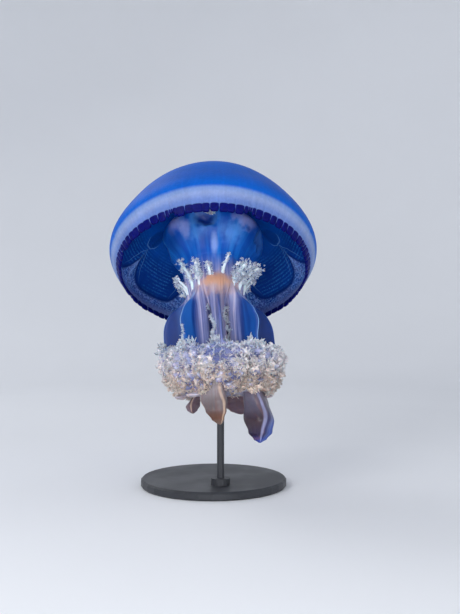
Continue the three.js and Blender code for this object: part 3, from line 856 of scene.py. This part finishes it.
def column_material():
    material, build, shader = new_material("Column jelly", **dict(JELLY, Roughness=0.42))
    place = build.mark("unbent", "Vector")
    wing, edge = build.mark("wing"), build.mark("edge")
    x, y, height = build.parts_of(place)
    out = build.vector("LENGTH", build.joined(x, y))
    fine = build.group(FIBRES, Place=place, Count=16.0, Stretch=0.9)
    broad = build.group(FIBRES, Place=place, Count=4.5, Stretch=0.8)
    cloudy = build.group(MOTTLE, Place=place, Size=3.0, Strength=0.5)

    disc = build.blend(build.span(broad, 0.35, 0.8), colour(0, 76, 176), colour(26, 124, 212))
    core = build.ramp(fine, [(0.32, colour(78, 94, 152)), (0.5, colour(134, 140, 186)),
                             (0.68, colour(194, 186, 210))])
    rosy = build.times(build.span(broad, 0.52, 0.7), 0.5)
    core = build.blend(rosy, core, colour(206, 176, 180))
    # painted shade: the core turns dark blue deep in the gaps between the arms
    core = build.blend(build.span(out, 0.2, 0.14), core, colour(14, 44, 112))
    blade = build.blend(build.span(fine, 0.4, 0.65), colour(0, 50, 126), colour(26, 94, 176))
    # painted shade: the blades on the left and right are darker blue, as the light falls off towards the
    # sides
    side_shade = build.span(build.maths("ABSOLUTE", x), 0.3, 0.4)
    blade = build.blend(side_shade, blade, colour(0, 50, 128))
    arms = build.blend(wing, core, blade)
    # painted highlight: a pale line along each blade's outer edge, standing in for light caught in the rim
    # of the jelly
    arms = build.blend(build.times(edge, 0.7), arms, colour(140, 184, 236))
    skin = build.blend(build.span(height, 0.02, -0.2), disc, arms)
    crease = build.mark("crease")
    # painted shade: the frilled part's skin is darker in the creases between its florets
    fleece = build.blend(crease, colour(220, 218, 238), colour(118, 128, 184))
    skin = build.blend(build.span(height, -0.74, -0.82), skin, fleece)

    def patch(base, tint, centre, radii, ragged, strength):
        mask = build.group(SPOT, Place=place, Centre=centre, Radii=radii, Raggedness=ragged)
        return build.blend(build.times(mask, strength), base, tint)

    for tint, (out_at, turn_at, height_at), radii, ragged, strength in STOMACH_PATCHES:
        centre = in_bell(out_at, rad(turn_at), height_at)
        skin = patch(skin, colour(*tint), centre, radii, ragged, strength)
    # painted shade: the disc darker blue on its left and right sides
    for turn in (-66, 66):
        skin = patch(skin, colour(4, 60, 148), in_bell(0.46, rad(turn), 0.28), (0.2, 0.17, 0.24), 0.6, 0.6)
    # the four openings under the stomach: a pale rim round a dark patch of painted shade in each hollow,
    # strongest in the near one
    for index in range(4):
        about = PORTICUS_TURN + index * math.pi / 2
        centre = in_bell(0.41, about, 0.31)
        near = 1.0 if index == 0 else 0.6
        skin = patch(skin, colour(110, 176, 242), centre, (0.17, 0.17, 0.115), 0.9, 0.7 * near)
        skin = patch(skin, colour(4, 46, 136), centre, (0.145, 0.145, 0.095), 0.9, 0.95 * near)

    # the apricot knob at the top of the neck and its streak to the large tuft
    skin = patch(skin, colour(216, 178, 172), in_bell(0.26, rad(48), -0.235), (0.10, 0.09, 0.05), 0.6, 0.6)
    skin = patch(skin, colour(180, 150, 146), in_bell(0.29, KNOB_TURN, -0.26), (0.26, 0.19, 0.115), 1.0, 0.9)
    skin = patch(skin, colour(202, 148, 114), in_bell(0.30, KNOB_TURN, -0.235), (0.19, 0.15, 0.06), 1.0, 0.8)

    build.feed(shader.inputs["Base Color"], build.tint(skin, cloudy))
    build.feed(shader.inputs["Alpha"], build.span(build.mark("clear"), 0.0, 1.0, 1.0, 1 - BLADE_CLEARNESS))
    bump(build, shader, fine, 0.3, 0.0012)
    return material


# ---------------------------------------------------------------- clubs
CLUBS = [
    # end, half width, swing of the root and of the tip in degrees
    (1.49, 0.115, -17, -11), (1.65, 0.15, 8, 0), (1.24, 0.07, 3, 0), (1.27, 0.05, -12, -14),
    (1.36, 0.13, -24, -26), (1.35, 0.07, 2, 6), (1.24, 0.07, 2, 0), (1.24, 0.07, -2, -4),
]
CLUB_TOP = 1.08  # the root stays hidden among the frills
CLUB_GIRTH = [(0, 0.7), (0.25, 0.8), (0.55, 1), (0.8, 0.74), (0.93, 0.4), (1, 0.06)]
CONE_GIRTH = [(0, 1.0), (0.3, 0.98), (0.6, 0.8), (0.85, 0.48), (0.95, 0.25), (1, 0.06)]
CLUB_OUT = 0.33  # a club's root from the column's centre line
CLUB_BULGE = 0.06  # how much further out it hangs at its middle
CLUB_FLATNESS = 0.8
CLUB_COLUMNS = 42
CLUB_ROWS = 44
CLUB_MARKS = ("unbent", "below", "ridge", "blue", "number")


def club(arm):
    end, width, root_swing, tip_swing = CLUBS[arm]
    ridge_at = rad(-38) - arm_turn(arm) if arm < 2 else 0

    def corner(angle, share, closing):
        drop = mix(CLUB_TOP, end, share)
        below = clamp((drop - ARM_END) / (end - ARM_END))
        wave = 0.35 * math.sin(7 * share + arm)
        ridge = math.cos(3 * (angle + ridge_at) + wave)
        lobe = 1 + 0.15 * ridge + 0.03 * math.cos(9 * angle + 4 * share) * below
        wavy = 1 + 0.03 * math.sin(11 * share + 2 * arm + 2 * angle)
        shape = CONE_GIRTH if arm == 0 else CLUB_GIRTH
        girth = width * along(shape, below) * lobe * wavy * closing
        middle = CLUB_OUT + CLUB_BULGE * math.sin(0.7 * math.pi * below)
        out = middle + CLUB_FLATNESS * girth * math.cos(angle)
        turn = arm_turn(arm) + rad(mix(root_swing, tip_swing, below))
        across = girth * math.sin(angle)
        blue = hump((angle + math.pi) % FULL_TURN - math.pi, rad(35), rad(80)) * smooth(0.25, 0.7, below)
        marks = (unbent(out, across, turn, drop), below, 0.5 + 0.5 * ridge, blue, float(arm))
        return on_arm(out, across, turn, drop), marks

    return closed_tube(CLUB_COLUMNS, CLUB_ROWS, corner, CLUB_MARKS)


def clubs():
    nodes = [f"arm_club_{arm + 1}" for arm in range(ARM_COUNT)]
    add_piece("clubs", [club(arm) for arm in range(ARM_COUNT)], club_material(), nodes)


def club_material():
    material, build, shader = new_material("Club jelly", **dict(JELLY, Roughness=0.36))
    place = build.mark("unbent", "Vector")
    below, ridge = build.mark("below"), build.mark("ridge")
    blue, number = build.mark("blue"), build.mark("number")
    fine = build.group(FIBRES, Place=place, Count=14.0, Stretch=2.0)
    cloudy = build.group(MOTTLE, Place=place, Size=5.0, Strength=0.7)
    large = build.ramp(below, [(0.0, colour(126, 120, 138)), (0.3, colour(88, 84, 102)),
                               (0.6, colour(62, 48, 58)), (0.85, colour(46, 36, 64)),
                               (1.0, colour(32, 62, 160))])
    near = build.ramp(below, [(0.0, colour(146, 138, 144)), (0.5, colour(98, 88, 92)),
                              (0.8, colour(100, 66, 52)), (1.0, colour(122, 98, 88))])
    small = build.ramp(below, [(0.0, colour(206, 200, 214)), (0.6, colour(190, 180, 192)),
                               (1.0, colour(196, 184, 186))])
    from_behind = build.maths("ABSOLUTE", build.maths("SUBTRACT", number, 4.0))
    small = build.blend(build.span(from_behind, 1.4, 1.6), colour(112, 92, 104), small)
    flesh = build.blend(build.maths("LESS_THAN", number, 0.5), small, near)
    is_large = build.maths("LESS_THAN", build.maths("ABSOLUTE", build.maths("SUBTRACT", number, 1.0)), 0.5)
    flesh = build.blend(is_large, flesh, large)
    brown = build.times(build.span(fine, 0.48, 0.68), 0.4)
    stained = build.blend(brown, flesh, colour(120, 84, 80))
    bluish = build.times(blue, build.times(is_large, 0.85))
    stained = build.blend(bluish, stained, colour(40, 84, 176))
    # painted highlight: the crests of the ridges turn pale, as if lit
    lit = build.times(build.span(ridge, 0.93, 1.0), 0.55)
    ridge_highlight = build.blend(is_large, colour(226, 196, 172), colour(170, 176, 220))
    skin = build.blend(lit, stained, ridge_highlight)
    build.feed(shader.inputs["Base Color"], build.tint(skin, cloudy))
    bump(build, shader, fine, 0.2, 0.0008)
    return material


# ---------------------------------------------------------------- lace: fingers and frilled fans
BAKE_MAP = "OFBake"
BAKE_BORDER = 0.03  # left free round the bake map
BAKE_DROPS = (0.25, 1.26)  # the first and the last on it
TUFT_PATCH = 0.003  # of the bake map
LACE_MARKS = (("tip_and_shade", "FLOAT", "value"), ("unbent", "FLOAT_VECTOR", "vector"))


def unit(vectors):
    return vectors / np.maximum(np.linalg.norm(vectors, axis=-1, keepdims=True), 1e-9)


def finger_tuft():
    """A tuft of blunt fingers, one unit tall, as corners and faces."""
    bm = bmesh.new()
    fingers = 6
    for finger in range(fingers):
        about = finger / fingers * FULL_TURN + dice.uniform(-0.5, 0.5)
        lean = dice.uniform(0.1, 0.9)
        length = dice.uniform(0.55, 1.0) * (1.1 - 0.35 * lean)
        aim = Vector((math.cos(about) * lean, math.sin(about) * lean, 1)).normalized()
        start = Vector((math.cos(about), math.sin(about), 0)) * 0.12
        leaning = aim.to_track_quat("Z", "Y").to_matrix().to_4x4()
        matrix = Matrix.Translation(start + aim * length / 2) @ leaning
        bmesh.ops.create_cone(
            bm, cap_ends=True, segments=3, radius1=0.1, radius2=0.05, depth=length, matrix=matrix,
        )
    return bm


def thick_sheet(points, thickness):
    """Corners and faces of a closed thin wall on a grid of points. The back's corners follow the front's."""
    normal = unit(np.cross(np.gradient(points, axis=0), np.gradient(points, axis=1)))
    steps, rows = points.shape[:2]
    both = np.concatenate([points, points - normal * thickness]).reshape(-1, 3)
    front = np.arange(steps * rows).reshape(steps, rows)
    back = front + steps * rows
    faces = [(front[:-1, :-1], front[1:, :-1], front[1:, 1:], front[:-1, 1:]),
             (back[:-1, :-1], back[:-1, 1:], back[1:, 1:], back[1:, :-1])]
    for here, there, flip in ((front[0], back[0], 1), (front[-1], back[-1], 0),
                              (front[:, 0], back[:, 0], 0), (front[:, -1], back[:, -1], 1)):
        side = (here[:-1], here[1:], there[1:], there[:-1])
        faces.append(side[::-1] if flip else side)
    return both, np.concatenate([np.stack(face, axis=-1).reshape(-1, 4) for face in faces])


def fan_tuft():
    """A frilled fan of thin tissue, one unit tall, as corners, faces and each corner's height."""
    phase, curl = dice.uniform(0, 6), dice.uniform(0.25, 0.5)
    side = np.linspace(-1, 1, 9)[:, None] + np.zeros((1, 3))
    up = np.linspace(0, 1, 3)[None] + np.zeros((9, 1))
    lean = side * rad(80) * (0.35 + 0.65 * up)
    fringe = 1 + 0.25 * np.sin(15 * side + phase) * (up > 0.9)
    reach = (0.1 + 0.9 * up) * fringe
    wave = np.sin(8 * side + phase) * curl * up ** 1.3
    sheet = np.stack([reach * np.sin(lean) * 0.8, wave * 0.6, reach * np.cos(lean)], axis=-1)
    points, faces = thick_sheet(sheet, 0.05)
    triangles = np.concatenate([faces[:, [0, 1, 2]], faces[:, [0, 2, 3]]])
    return points, triangles, np.tile(up.ravel(), 2)


def arrays_of(bm):
    """A bmesh's corners, triangles, and each corner's height of 0 to 1."""
    bmesh.ops.triangulate(bm, faces=bm.faces)
    bm.verts.index_update()
    points = np.array([corner.co for corner in bm.verts])
    faces = np.array([[corner.index for corner in face.verts] for face in bm.faces])
    bm.free()
    return points, faces, np.clip(points[:, 2], 0, 1)


TUFTS = [arrays_of(finger_tuft()) for _ in range(4)] + [fan_tuft() for _ in range(4)]
FAN_SHARE = 0.28


def placed(points):
    """Points of the animal's frame, in the model's."""
    return points * BELL_RADIUS @ np.array(TILTED).T + np.array(MOUTH)


def lace_mesh(points, faces, tips, straight, spots):
    """A mesh from arrays, with the marks the lace's material reads and its bake map."""
    mesh = bpy.data.meshes.new("lace")
    mesh.from_pydata(placed(points), [], faces.tolist())
    for (name, kind, field), values in zip(LACE_MARKS, (tips, straight)):
        mesh.attributes.new(name, kind, "POINT").data.foreach_set(field, values.astype(np.float32).ravel())
    layer = mesh.uv_layers.new(name=BAKE_MAP)
    layer.uv.foreach_set("vector", spots[faces.ravel()].astype(np.float32).ravel())
    return mesh


def as_part(mesh):
    bm = bmesh.new()
    bm.from_mesh(mesh)
    bpy.data.meshes.remove(mesh)
    return bm


def tufts_mesh(roots, aims, sizes, brightness, straight, spots, fan_share=FAN_SHARE):
    """Tufts on their roots, all in one mesh. Each is one small patch of the bake map."""
    count = len(roots)
    half = len(TUFTS) // 2
    kinds = scatter.integers(0, half, count) + half * (scatter.random(count) < fan_share)
    up = unit(aims)
    left = unit(np.cross(up, scatter.normal(size=(count, 3))))
    front = np.cross(up, left)
    points, faces, tips, lines, patches = [], [], [], [], []
    start = 0
    for kind, (shape, sides, heights) in enumerate(TUFTS):
        mine = np.flatnonzero(kinds == kind)
        if not len(mine):
            continue
        size = sizes[mine, None, None]
        spread = (shape[None, :, 0:1] * left[mine, None] + shape[None, :, 1:2] * front[mine, None]
                  + shape[None, :, 2:3] * up[mine, None])
        points.append((roots[mine, None] + spread * size).reshape(-1, 3))
        offsets = start + np.arange(len(mine)) * len(shape)
        faces.append((sides[None] + offsets[:, None, None]).reshape(-1, 3))
        # painted shade: a tuft's colour darkens from its tips down to its root
        tips.append((brightness[mine, None] * (0.35 + 0.65 * heights[None])).ravel())
        lines.append(np.repeat(straight[mine], len(shape), axis=0))
        patch = spots[mine, None] + (shape[None, :, :2] * 0.5) * TUFT_PATCH
        patches.append(patch.reshape(-1, 2))
        start += len(mine) * len(shape)
    parts = (points, faces, tips, lines, patches)
    return lace_mesh(*(np.concatenate(part) for part in parts))


# ---------------------------------------------------------------- frills
TUFTS_TO_AN_ARM = 2900
TUFTS_TO_A_FAR_ARM = 1900
NEAR_ARMS = (0, 1, 2, 6, 7)
FRILL_TOP = 0.775
FRILL_END = 1.21
RUFFLE_HEIGHT = 0.036
RUFFLE_SWAY = 0.022
RUFFLE_STEP = 0.0034
RUFFLE_THICKNESS = 0.4 * MILLIMETRE
FRILL_LINES = (-0.88, -0.68, -0.52, -0.38, -0.2, 0, 0.2, 0.38, 0.52, 0.68, 0.88)
TABLE_SHARES = np.linspace(-1, 1, 73)
TABLE_DROPS = np.linspace(0.28, ARM_END, 92)


class ArmSkin:
    """An arm's skin as tables, so that many places on it are found at once."""

    def __init__(self, arm):
        self.arm = arm
        turn = arm_turn(arm)
        rows = []
        for share in TABLE_SHARES.tolist():
            spots = [(*arm_skin_point(arm, share, drop), drop) for drop in TABLE_DROPS.tolist()]
            rows.append([(*on_arm(out, across, turn, drop), *unbent(out, across, turn, drop), crease)
                         for out, across, crease, drop in spots])
        table = np.array(rows)
        self.point, self.straight, self.crease = table[..., :3], table[..., 3:6], table[..., 6:]
        self.side = unit(np.gradient(self.point, axis=0))
        self.down = unit(np.gradient(self.point, axis=1))
        outward = unit(np.cross(self.side, self.down))
        centres = np.array([column_centre(float(drop)) for drop in TABLE_DROPS])
        facing = np.sum(outward * (self.point - centres[None]), axis=-1, keepdims=True)
        middle = np.sign(facing[len(TABLE_SHARES) // 2].mean())
        self.outward = outward * middle

    def at(self, share, drop):
        """Point, outward, sideways and downward directions, unbent place and crease, of many places."""
        across = np.clip((share + 1) / 2, 0, 0.9999) * (len(TABLE_SHARES) - 1)
        level = (drop - TABLE_DROPS[0]) / (TABLE_DROPS[-1] - TABLE_DROPS[0])
        level = np.clip(level, 0, 0.9999) * (len(TABLE_DROPS) - 1)
        i, j = across.astype(int), level.astype(int)
        u, v = (across - i)[..., None], (level - j)[..., None]
        return [
            table[i, j] * (1 - u) * (1 - v) + table[i + 1, j] * u * (1 - v)
            + table[i, j + 1] * (1 - u) * v + table[i + 1, j + 1] * u * v
            for table in (self.point, self.outward, self.side, self.down, self.straight, self.crease)
        ]


def on_bake_map(share, drop):
    """Where places on an arm's skin lie on its bake map."""
    first, last = BAKE_DROPS
    spots = np.stack([(share + 1) / 2, (drop - first) / (last - first)], axis=-1)
    return spots * (1 - 2 * BAKE_BORDER) + BAKE_BORDER


def ruffle(skin, share, first, last):
    """A ruffled ribbon that stands on the skin along an arm, with a fringed free edge."""
    steps, rows = int((last - first) / RUFFLE_STEP), 4
    phase, pitch = dice.uniform(0, 6), dice.uniform(0.8, 1.25)
    drop = np.linspace(first, last, steps + 1)[:, None] + np.zeros((1, rows + 1))
    free = np.linspace(0, 1, rows + 1)[None] + np.zeros((steps + 1, 1))
    wander = 0.035 * np.sin(11 * drop + phase) + 0.02 * np.sin(27 * drop + 2 * phase)
    point, outward, side, down, straight, crease = skin.at(share + wander, drop)
    turn = drop * 60 * pitch + phase
    fade = np.clip(np.sin(math.pi * np.linspace(0, 1, steps + 1)), 0, 1)[:, None] ** 0.3
    swing = np.sin(turn) + 0.55 * np.sin(2.7 * turn + 1.7 * phase)
    slide = 0.7 * np.cos(turn) + 0.5 * np.sin(3.1 * turn)
    fringe = (np.arange(steps + 1) % 3 == 1)[:, None] * 0.4 * np.clip(free - 0.7, 0, 1) / 0.3
    lift = RUFFLE_HEIGHT * fade * (free * (1 + 0.3 * np.sin(1.9 * turn + phase)) + fringe) - 0.01
    loose = free ** 0.8 * RUFFLE_SWAY * fade
    point = point + outward * lift[..., None] + side * (loose * swing)[..., None]
    point = point + down * (loose * slide)[..., None]
    corners, faces = thick_sheet(point, RUFFLE_THICKNESS)
    spots = on_bake_map(share + wander + 0.02 * (free - 0.5), drop)
    shade = free * (1 - 0.4 * crease[..., 0])
    twice = [np.concatenate([values, values]) for values in (
        shade.ravel(), straight.reshape(-1, 3), spots.reshape(-1, 2))]
    return as_part(lace_mesh(corners, faces, *twice))


def frill_top(arm, share):
    """The drop at which the frills begin, which wanders about FRILL_TOP."""
    about = arm_turn(arm) + share * SECTOR
    return FRILL_TOP + 0.022 * np.sin(9 * about + 0.6) + 0.016 * np.sin(23 * about)


def arm_tufts(skin, count):
    """Tufts scattered over a lower arm, thick on its florets and thin in the creases."""
    share = scatter.uniform(-0.97, 0.97, count)
    top = frill_top(skin.arm, share)
    drop = top + (FRILL_END - top) * scatter.random(count) ** 0.9
    spikes = scatter.random(count) < 0.06
    drop = np.where(spikes, top + scatter.uniform(-0.012, 0.03, count), drop)
    full = 1 - skin.at(share, drop)[5][:, 0]
    if skin.arm == 6:
        # the smooth trough between this arm's wings
        full = full * (1 - 0.9 * np.exp(-((np.abs(share) - 0.24) / 0.1) ** 2) * (drop < 1.08))
    kept = scatter.random(count) < 0.42 + 0.58 * full
    share, drop, full, spikes = share[kept], drop[kept], full[kept], spikes[kept]
    point, outward, side, down, straight, _ = skin.at(share, drop)
    number = len(share)
    upward = (1.0 * np.clip((0.86 - drop) / 0.1, 0, 1) + 0.8 * spikes)[:, None]
    aims = (outward + side * scatter.uniform(-0.7, 0.7, (number, 1))
            + down * (scatter.uniform(-0.6, 0.6, (number, 1)) - upward))
    lift = (0.002 + 0.03 * full * scatter.random(number))[:, None]
    sizes = (0.018 + 0.036 * scatter.random(number) ** 2.5 + 0.02 * spikes) * (0.6 + 0.6 * full)
    # painted shade: tufts in the creases, and in arm 6's trough, get a darker colour
    brightness = np.clip(0.22 + 0.95 * full + scatter.uniform(-0.15, 0.15, number) + 0.3 * spikes, 0, 1)
    return tufts_mesh(point + outward * lift, aims, sizes, brightness, straight, on_bake_map(share, drop))


RUNNERS = {
    # on some arms, curly lines of small tufts that climb beside the gaps:
    # share across the arm, first and last drop, spread and number of tufts
    0: ((-0.58, 0.5, 0.79, 0.07, 120), (0.6, 0.42, 0.64, 0.05, 48)),
    1: ((-0.7, 0.42, 0.72, 0.05, 34),),
    7: ((0.66, 0.4, 0.46, 0.04, 9), (0.1, 0.6, 0.68, 0.04, 14), (-0.1, 0.7, 0.78, 0.03, 10)),
}


def runner(skin, share, first, last, spread, count):
    """A curly line of small tufts along an arm."""
    drop = scatter.uniform(first, last, count)
    wander = share + spread * np.sin(34 * drop) + scatter.normal(0, 0.02, count)
    point, outward, side, down, straight, _ = skin.at(wander, drop)
    aims = outward + side * scatter.uniform(-0.8, 0.8, (count, 1))
    aims = aims - down * scatter.uniform(-0.4, 0.8, (count, 1))
    sizes = scatter.uniform(0.016, 0.036, count)
    lit = np.ones(count)
    return as_part(tufts_mesh(point, aims, sizes, lit, straight, on_bake_map(wander, drop), fan_share=0.1))


def arm_frills(arm, material):
    skin = ArmSkin(arm)
    parts = []
    for share in FRILL_LINES:
        first = float(frill_top(arm, share)) + dice.uniform(-0.02, 0.02)
        parts.append(ruffle(skin, share, first, FRILL_END - dice.uniform(0, 0.03)))
    parts += [runner(skin, *line) for line in RUNNERS.get(arm, ())]
    parts.append(as_part(arm_tufts(skin, TUFTS_TO_AN_ARM if arm in NEAR_ARMS else TUFTS_TO_A_FAR_ARM)))
    add_piece(f"frills_{arm + 1}", parts, material, [f"arm_frills_{arm + 1}"])


def lace_material():
    settings = dict(JELLY, Coat_Weight=0.05, Subsurface_Weight=0.5, Subsurface_Scale=0.005, Roughness=0.55)
    material, build, shader = new_material("Lace tissue", **settings)
    place = build.mark("unbent", "Vector")
    height = build.parts_of(place)[2]
    tip_and_shade = build.mark("tip_and_shade")
    cloudy = build.group(MOTTLE, Place=place, Size=6.0, Strength=0.3)
    level = build.span(height, -0.7, -1.2)
    tips = build.ramp(level, [(0.0, colour(220, 238, 255)), (0.35, colour(246, 248, 255)),
                              (1.0, colour(232, 218, 208))])
    # the roots are bluer and darker than the tips: partly the tissue's own tint, partly painted shade deep
    # among the tufts
    roots = build.ramp(level, [(0.0, colour(84, 132, 226)), (0.35, colour(136, 150, 210)),
                               (1.0, colour(186, 168, 172))])
    skin = build.blend(build.span(tip_and_shade, 0.0, 0.55), roots, tips)
    build.feed(shader.inputs["Base Color"], build.tint(skin, cloudy))
    return material


# ---------------------------------------------------------------- scapulets
SCAPULET_SPREAD = 9.5
SCAPULET_ROOT = (0.25, 0.28)  # distance out and drop
STALK_COLUMNS = 12
STALK_ROWS = 16
FLAP_TUFTS = 30  # on every flap, and more by the square of its size
TUFTS_BY_SIZE = 14000
CURL_TUFTS = 26
SCAPULETS = [
    # for each arm its left and right flap: swing in degrees, distance out, drop and size of the tuft
    ((-2, 0.345, 0.13, 0.038), (12, 0.37, 0.04, 0.03)),
    ((5, 0.42, 0.125, 0.088), (8, 0.45, 0.105, 0.088)),
    ((0, 0.38, 0.09, 0.035), (0, 0.38, 0.08, 0.035)),
    ((0, 0.4, 0.02, 0.055), (0, 0.4, 0.02, 0.055)),
    ((0, 0.4, 0.02, 0.055), (0, 0.4, 0.02, 0.055)),
    ((0, 0.4, 0.02, 0.055), (0, 0.4, 0.02, 0.055)),
    ((0, 0.38, 0.08, 0.035), (0, 0.37, 0.12, 0.03)),
    ((0, 0.385, 0.06, 0.052), (6, 0.37, 0.1, 0.052)),
]


def scapulet_path(arm, side, flap, share):
    """Out, turn and drop at a share of the way up one flap."""
    swing, out, drop, _ = flap
    turn = arm_turn(arm) + rad(side * SCAPULET_SPREAD + swing * share ** 1.5)
    rise = share - 0.25 * math.sin(math.pi * share)
    return mix(SCAPULET_ROOT[0], out, rise), turn, mix(SCAPULET_ROOT[1], drop, share)


def stalk(arm, side, flap):
    def corner(angle, share, closing):
        out, turn, drop = scapulet_path(arm, side, flap, share)
        girth = mix(0.022, 0.2 * flap[3] + 0.004, share) * closing
        out, across = out + girth * math.cos(angle), girth * math.sin(angle)
        return on_arm(out, across, turn, drop), (0.55, unbent(out, across, turn, drop))

    return closed_tube(STALK_COLUMNS, STALK_ROWS, corner, ("tip_and_shade", "unbent"))


def scapulets(material):
    parts, roots, aims, sizes, lines, spots = [], [], [], [], [], []
    for arm in range(ARM_COUNT):
        for side, flap in zip((-1, 1), SCAPULETS[arm]):
            parts.append(stalk(arm, side, flap))
            size = flap[3]
            for _ in range(int(FLAP_TUFTS + TUFTS_BY_SIZE * size ** 2)):
                share = 1 - 0.62 * dice.random() ** 1.3
                out, turn, drop = scapulet_path(arm, side, flap, share)
                centre = on_column(out, turn, drop)
                above = (on_column(out, turn, drop - 0.3) - centre).normalized()
                away = Vector([dice.gauss(0, 1) for _ in range(3)]).normalized()
                plump = size * (0.45 + 0.55 * share) * (1 if share > 0.6 else 0.6)
                roots.append(centre + away * plump * dice.uniform(0.2, 0.9))
                aims.append(away + above * dice.uniform(0.2, 1.2))
                sizes.append(dice.uniform(0.45, 1.0) * size * (0.5 if size > 0.06 else 0.9))
                lines.append(in_bell(out, turn, -drop))
                spots.append(((arm + 0.5 + side * 0.2) / ARM_COUNT, 0.1 + 0.8 * share))
    for _ in range(CURL_TUFTS):
        # the curl of lace in the near opening under the stomach
        turn, height = rad(dice.uniform(-5, 6)), dice.uniform(0.33, 0.4)
        roots.append(in_bell(0.45, turn, height))
        aims.append(in_bell(1, turn + dice.uniform(-0.9, 0.9), dice.uniform(-0.7, 0.9)))
        sizes.append(dice.uniform(0.03, 0.06))
        lines.append(in_bell(0.45, turn, height))
        spots.append((0.02, 0.5))
    count = len(roots)
    mesh = tufts_mesh(np.array(roots), np.array(aims), np.array(sizes), scatter.uniform(0.75, 1.0, count),
                      np.array(lines), np.array(spots), fan_share=0.15)
    nodes = [f"scapulets_{arm + 1}" for arm in range(ARM_COUNT)]
    add_piece("scapulet_frills", parts + [as_part(mesh)], material, nodes)


# ---------------------------------------------------------------- stand
def stand_material():
    material, build, shader = new_material("Satin stand paint", Specular_IOR_Level=0.4)
    place = build.add("TexCoord").outputs["Object"]
    speckle = build.noise(place, 900.0, 2.0, 0.6)
    patchy = build.noise(place, 18.0, 3.0, 0.5)
    build.feed(shader.inputs["Base Color"], build.blend(patchy, colour(38, 40, 45), colour(54, 56, 62)))
    build.feed(shader.inputs["Roughness"], build.span(patchy, 0.3, 0.7, 0.38, 0.52))
    bump(build, shader, speckle, 0.15, 0.0002)
    return material


def paint_stand():
    material = stand_material()
    for name in ("stand_base", "stand_rod"):
        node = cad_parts[name]
        node.data.materials.clear()
        node.data.materials.append(material)


# ---------------------------------------------------------------- studio
FLOOR_RADIUS = 2.6
COVE_RADIUS = 1.0
WALL_HEIGHT = 3.4
COVE_STEPS = 14
FLOOR_SIDES = 72


def studio_floor():
    """A pale floor that curves up into a wall all round."""
    bm = bmesh.new()
    outline = [(0.001, 0), (FLOOR_RADIUS - COVE_RADIUS, 0)]
    outline += [(FLOOR_RADIUS - COVE_RADIUS + COVE_RADIUS * math.sin(t), COVE_RADIUS * (1 - math.cos(t)))
                for t in (i / COVE_STEPS * math.pi / 2 for i in range(1, COVE_STEPS + 1))]
    outline.append((FLOOR_RADIUS, WALL_HEIGHT))
    corners = [bm.verts.new((out, 0, height)) for out, height in outline]
    edges = [bm.edges.new(pair) for pair in zip(corners, corners[1:])]
    bmesh.ops.spin(
        bm, geom=corners + edges, cent=(0, 0, 0), axis=(0, 0, 1), angle=FULL_TURN, steps=FLOOR_SIDES,
        use_merge=True,
    )
    bmesh.ops.remove_doubles(bm, verts=bm.verts, dist=0.002)
    mesh = bpy.data.meshes.new("studio_floor")
    bm.to_mesh(mesh)
    bm.free()
    mesh.shade_smooth()
    material, build, shader = new_material("Pale floor", Roughness=0.85, Specular_IOR_Level=0.15)
    grain = build.noise(build.add("TexCoord").outputs["Object"], 3.0, 2.0)
    build.feed(shader.inputs["Base Color"], build.blend(grain, colour(234, 236, 240), colour(238, 240, 244)))
    mesh.materials.append(material)
    floor = bpy.data.objects.new("studio_floor", mesh)
    bpy.context.scene.collection.objects.link(floor)


def soft_light(name, place, aim, size, power):
    data = bpy.data.lights.new(name, "AREA")
    data.shape = "DISK"
    data.size = size
    data.energy = power
    light = bpy.data.objects.new(name, data)
    light.location = place
    light.rotation_euler = (Vector(aim) - Vector(place)).to_track_quat("-Z", "Y").to_euler()
    bpy.context.scene.collection.objects.link(light)


AIR_COLOUR = (0.92, 0.95, 1, 1)
AIR_STRENGTH = 0.57


def lights():
    middle = (0, 0, 0.3)
    soft_light("key_light", (-0.9, -1.5, 0.9), middle, 0.9, 13.5)
    soft_light("fill_light", (1.2, -1.5, 0.5), middle, 1.2, 5)
    soft_light("low_light", (0.0, -1.35, 0.1), (0, 0, 0.36), 0.8, 8)
    soft_light("back_light", (-1.2, 1.2, 1.8), middle, 1.2, 9)
    world = bpy.data.worlds.new("studio_air")
    world.use_nodes = True
    air = world.node_tree.nodes["Background"].inputs
    air["Color"].default_value = AIR_COLOUR
    air["Strength"].default_value = AIR_STRENGTH
    bpy.context.scene.world = world


VIEW_DISTANCE = 8 * BELL_RADIUS
VIEW_SIDE = 0.157 * BELL_RADIUS
VIEW_BELOW = 0.336 * BELL_RADIUS
VIEW_LENS = 49.1
FILM_LENGTH = 36


def camera():
    data = bpy.data.cameras.new("camera")
    data.lens = VIEW_LENS
    data.sensor_width = FILM_LENGTH
    data.clip_start = 0.01
    item = bpy.data.objects.new("camera", data)
    item.location = MOUTH + Vector((VIEW_SIDE, -VIEW_DISTANCE, -VIEW_BELOW))
    item.rotation_euler = (math.pi / 2, 0, 0)
    bpy.context.scene.collection.objects.link(item)
    bpy.context.scene.camera = item
    bpy.context.scene.view_settings.view_transform = "Standard"


# ---------------------------------------------------------------- the model
camera()
lights()
studio_floor()
bell_skin()
column_skin()
clubs()
lace = lace_material()
for arm in range(ARM_COUNT):
    arm_frills(arm, lace)
scapulets(lace)
paint_stand()
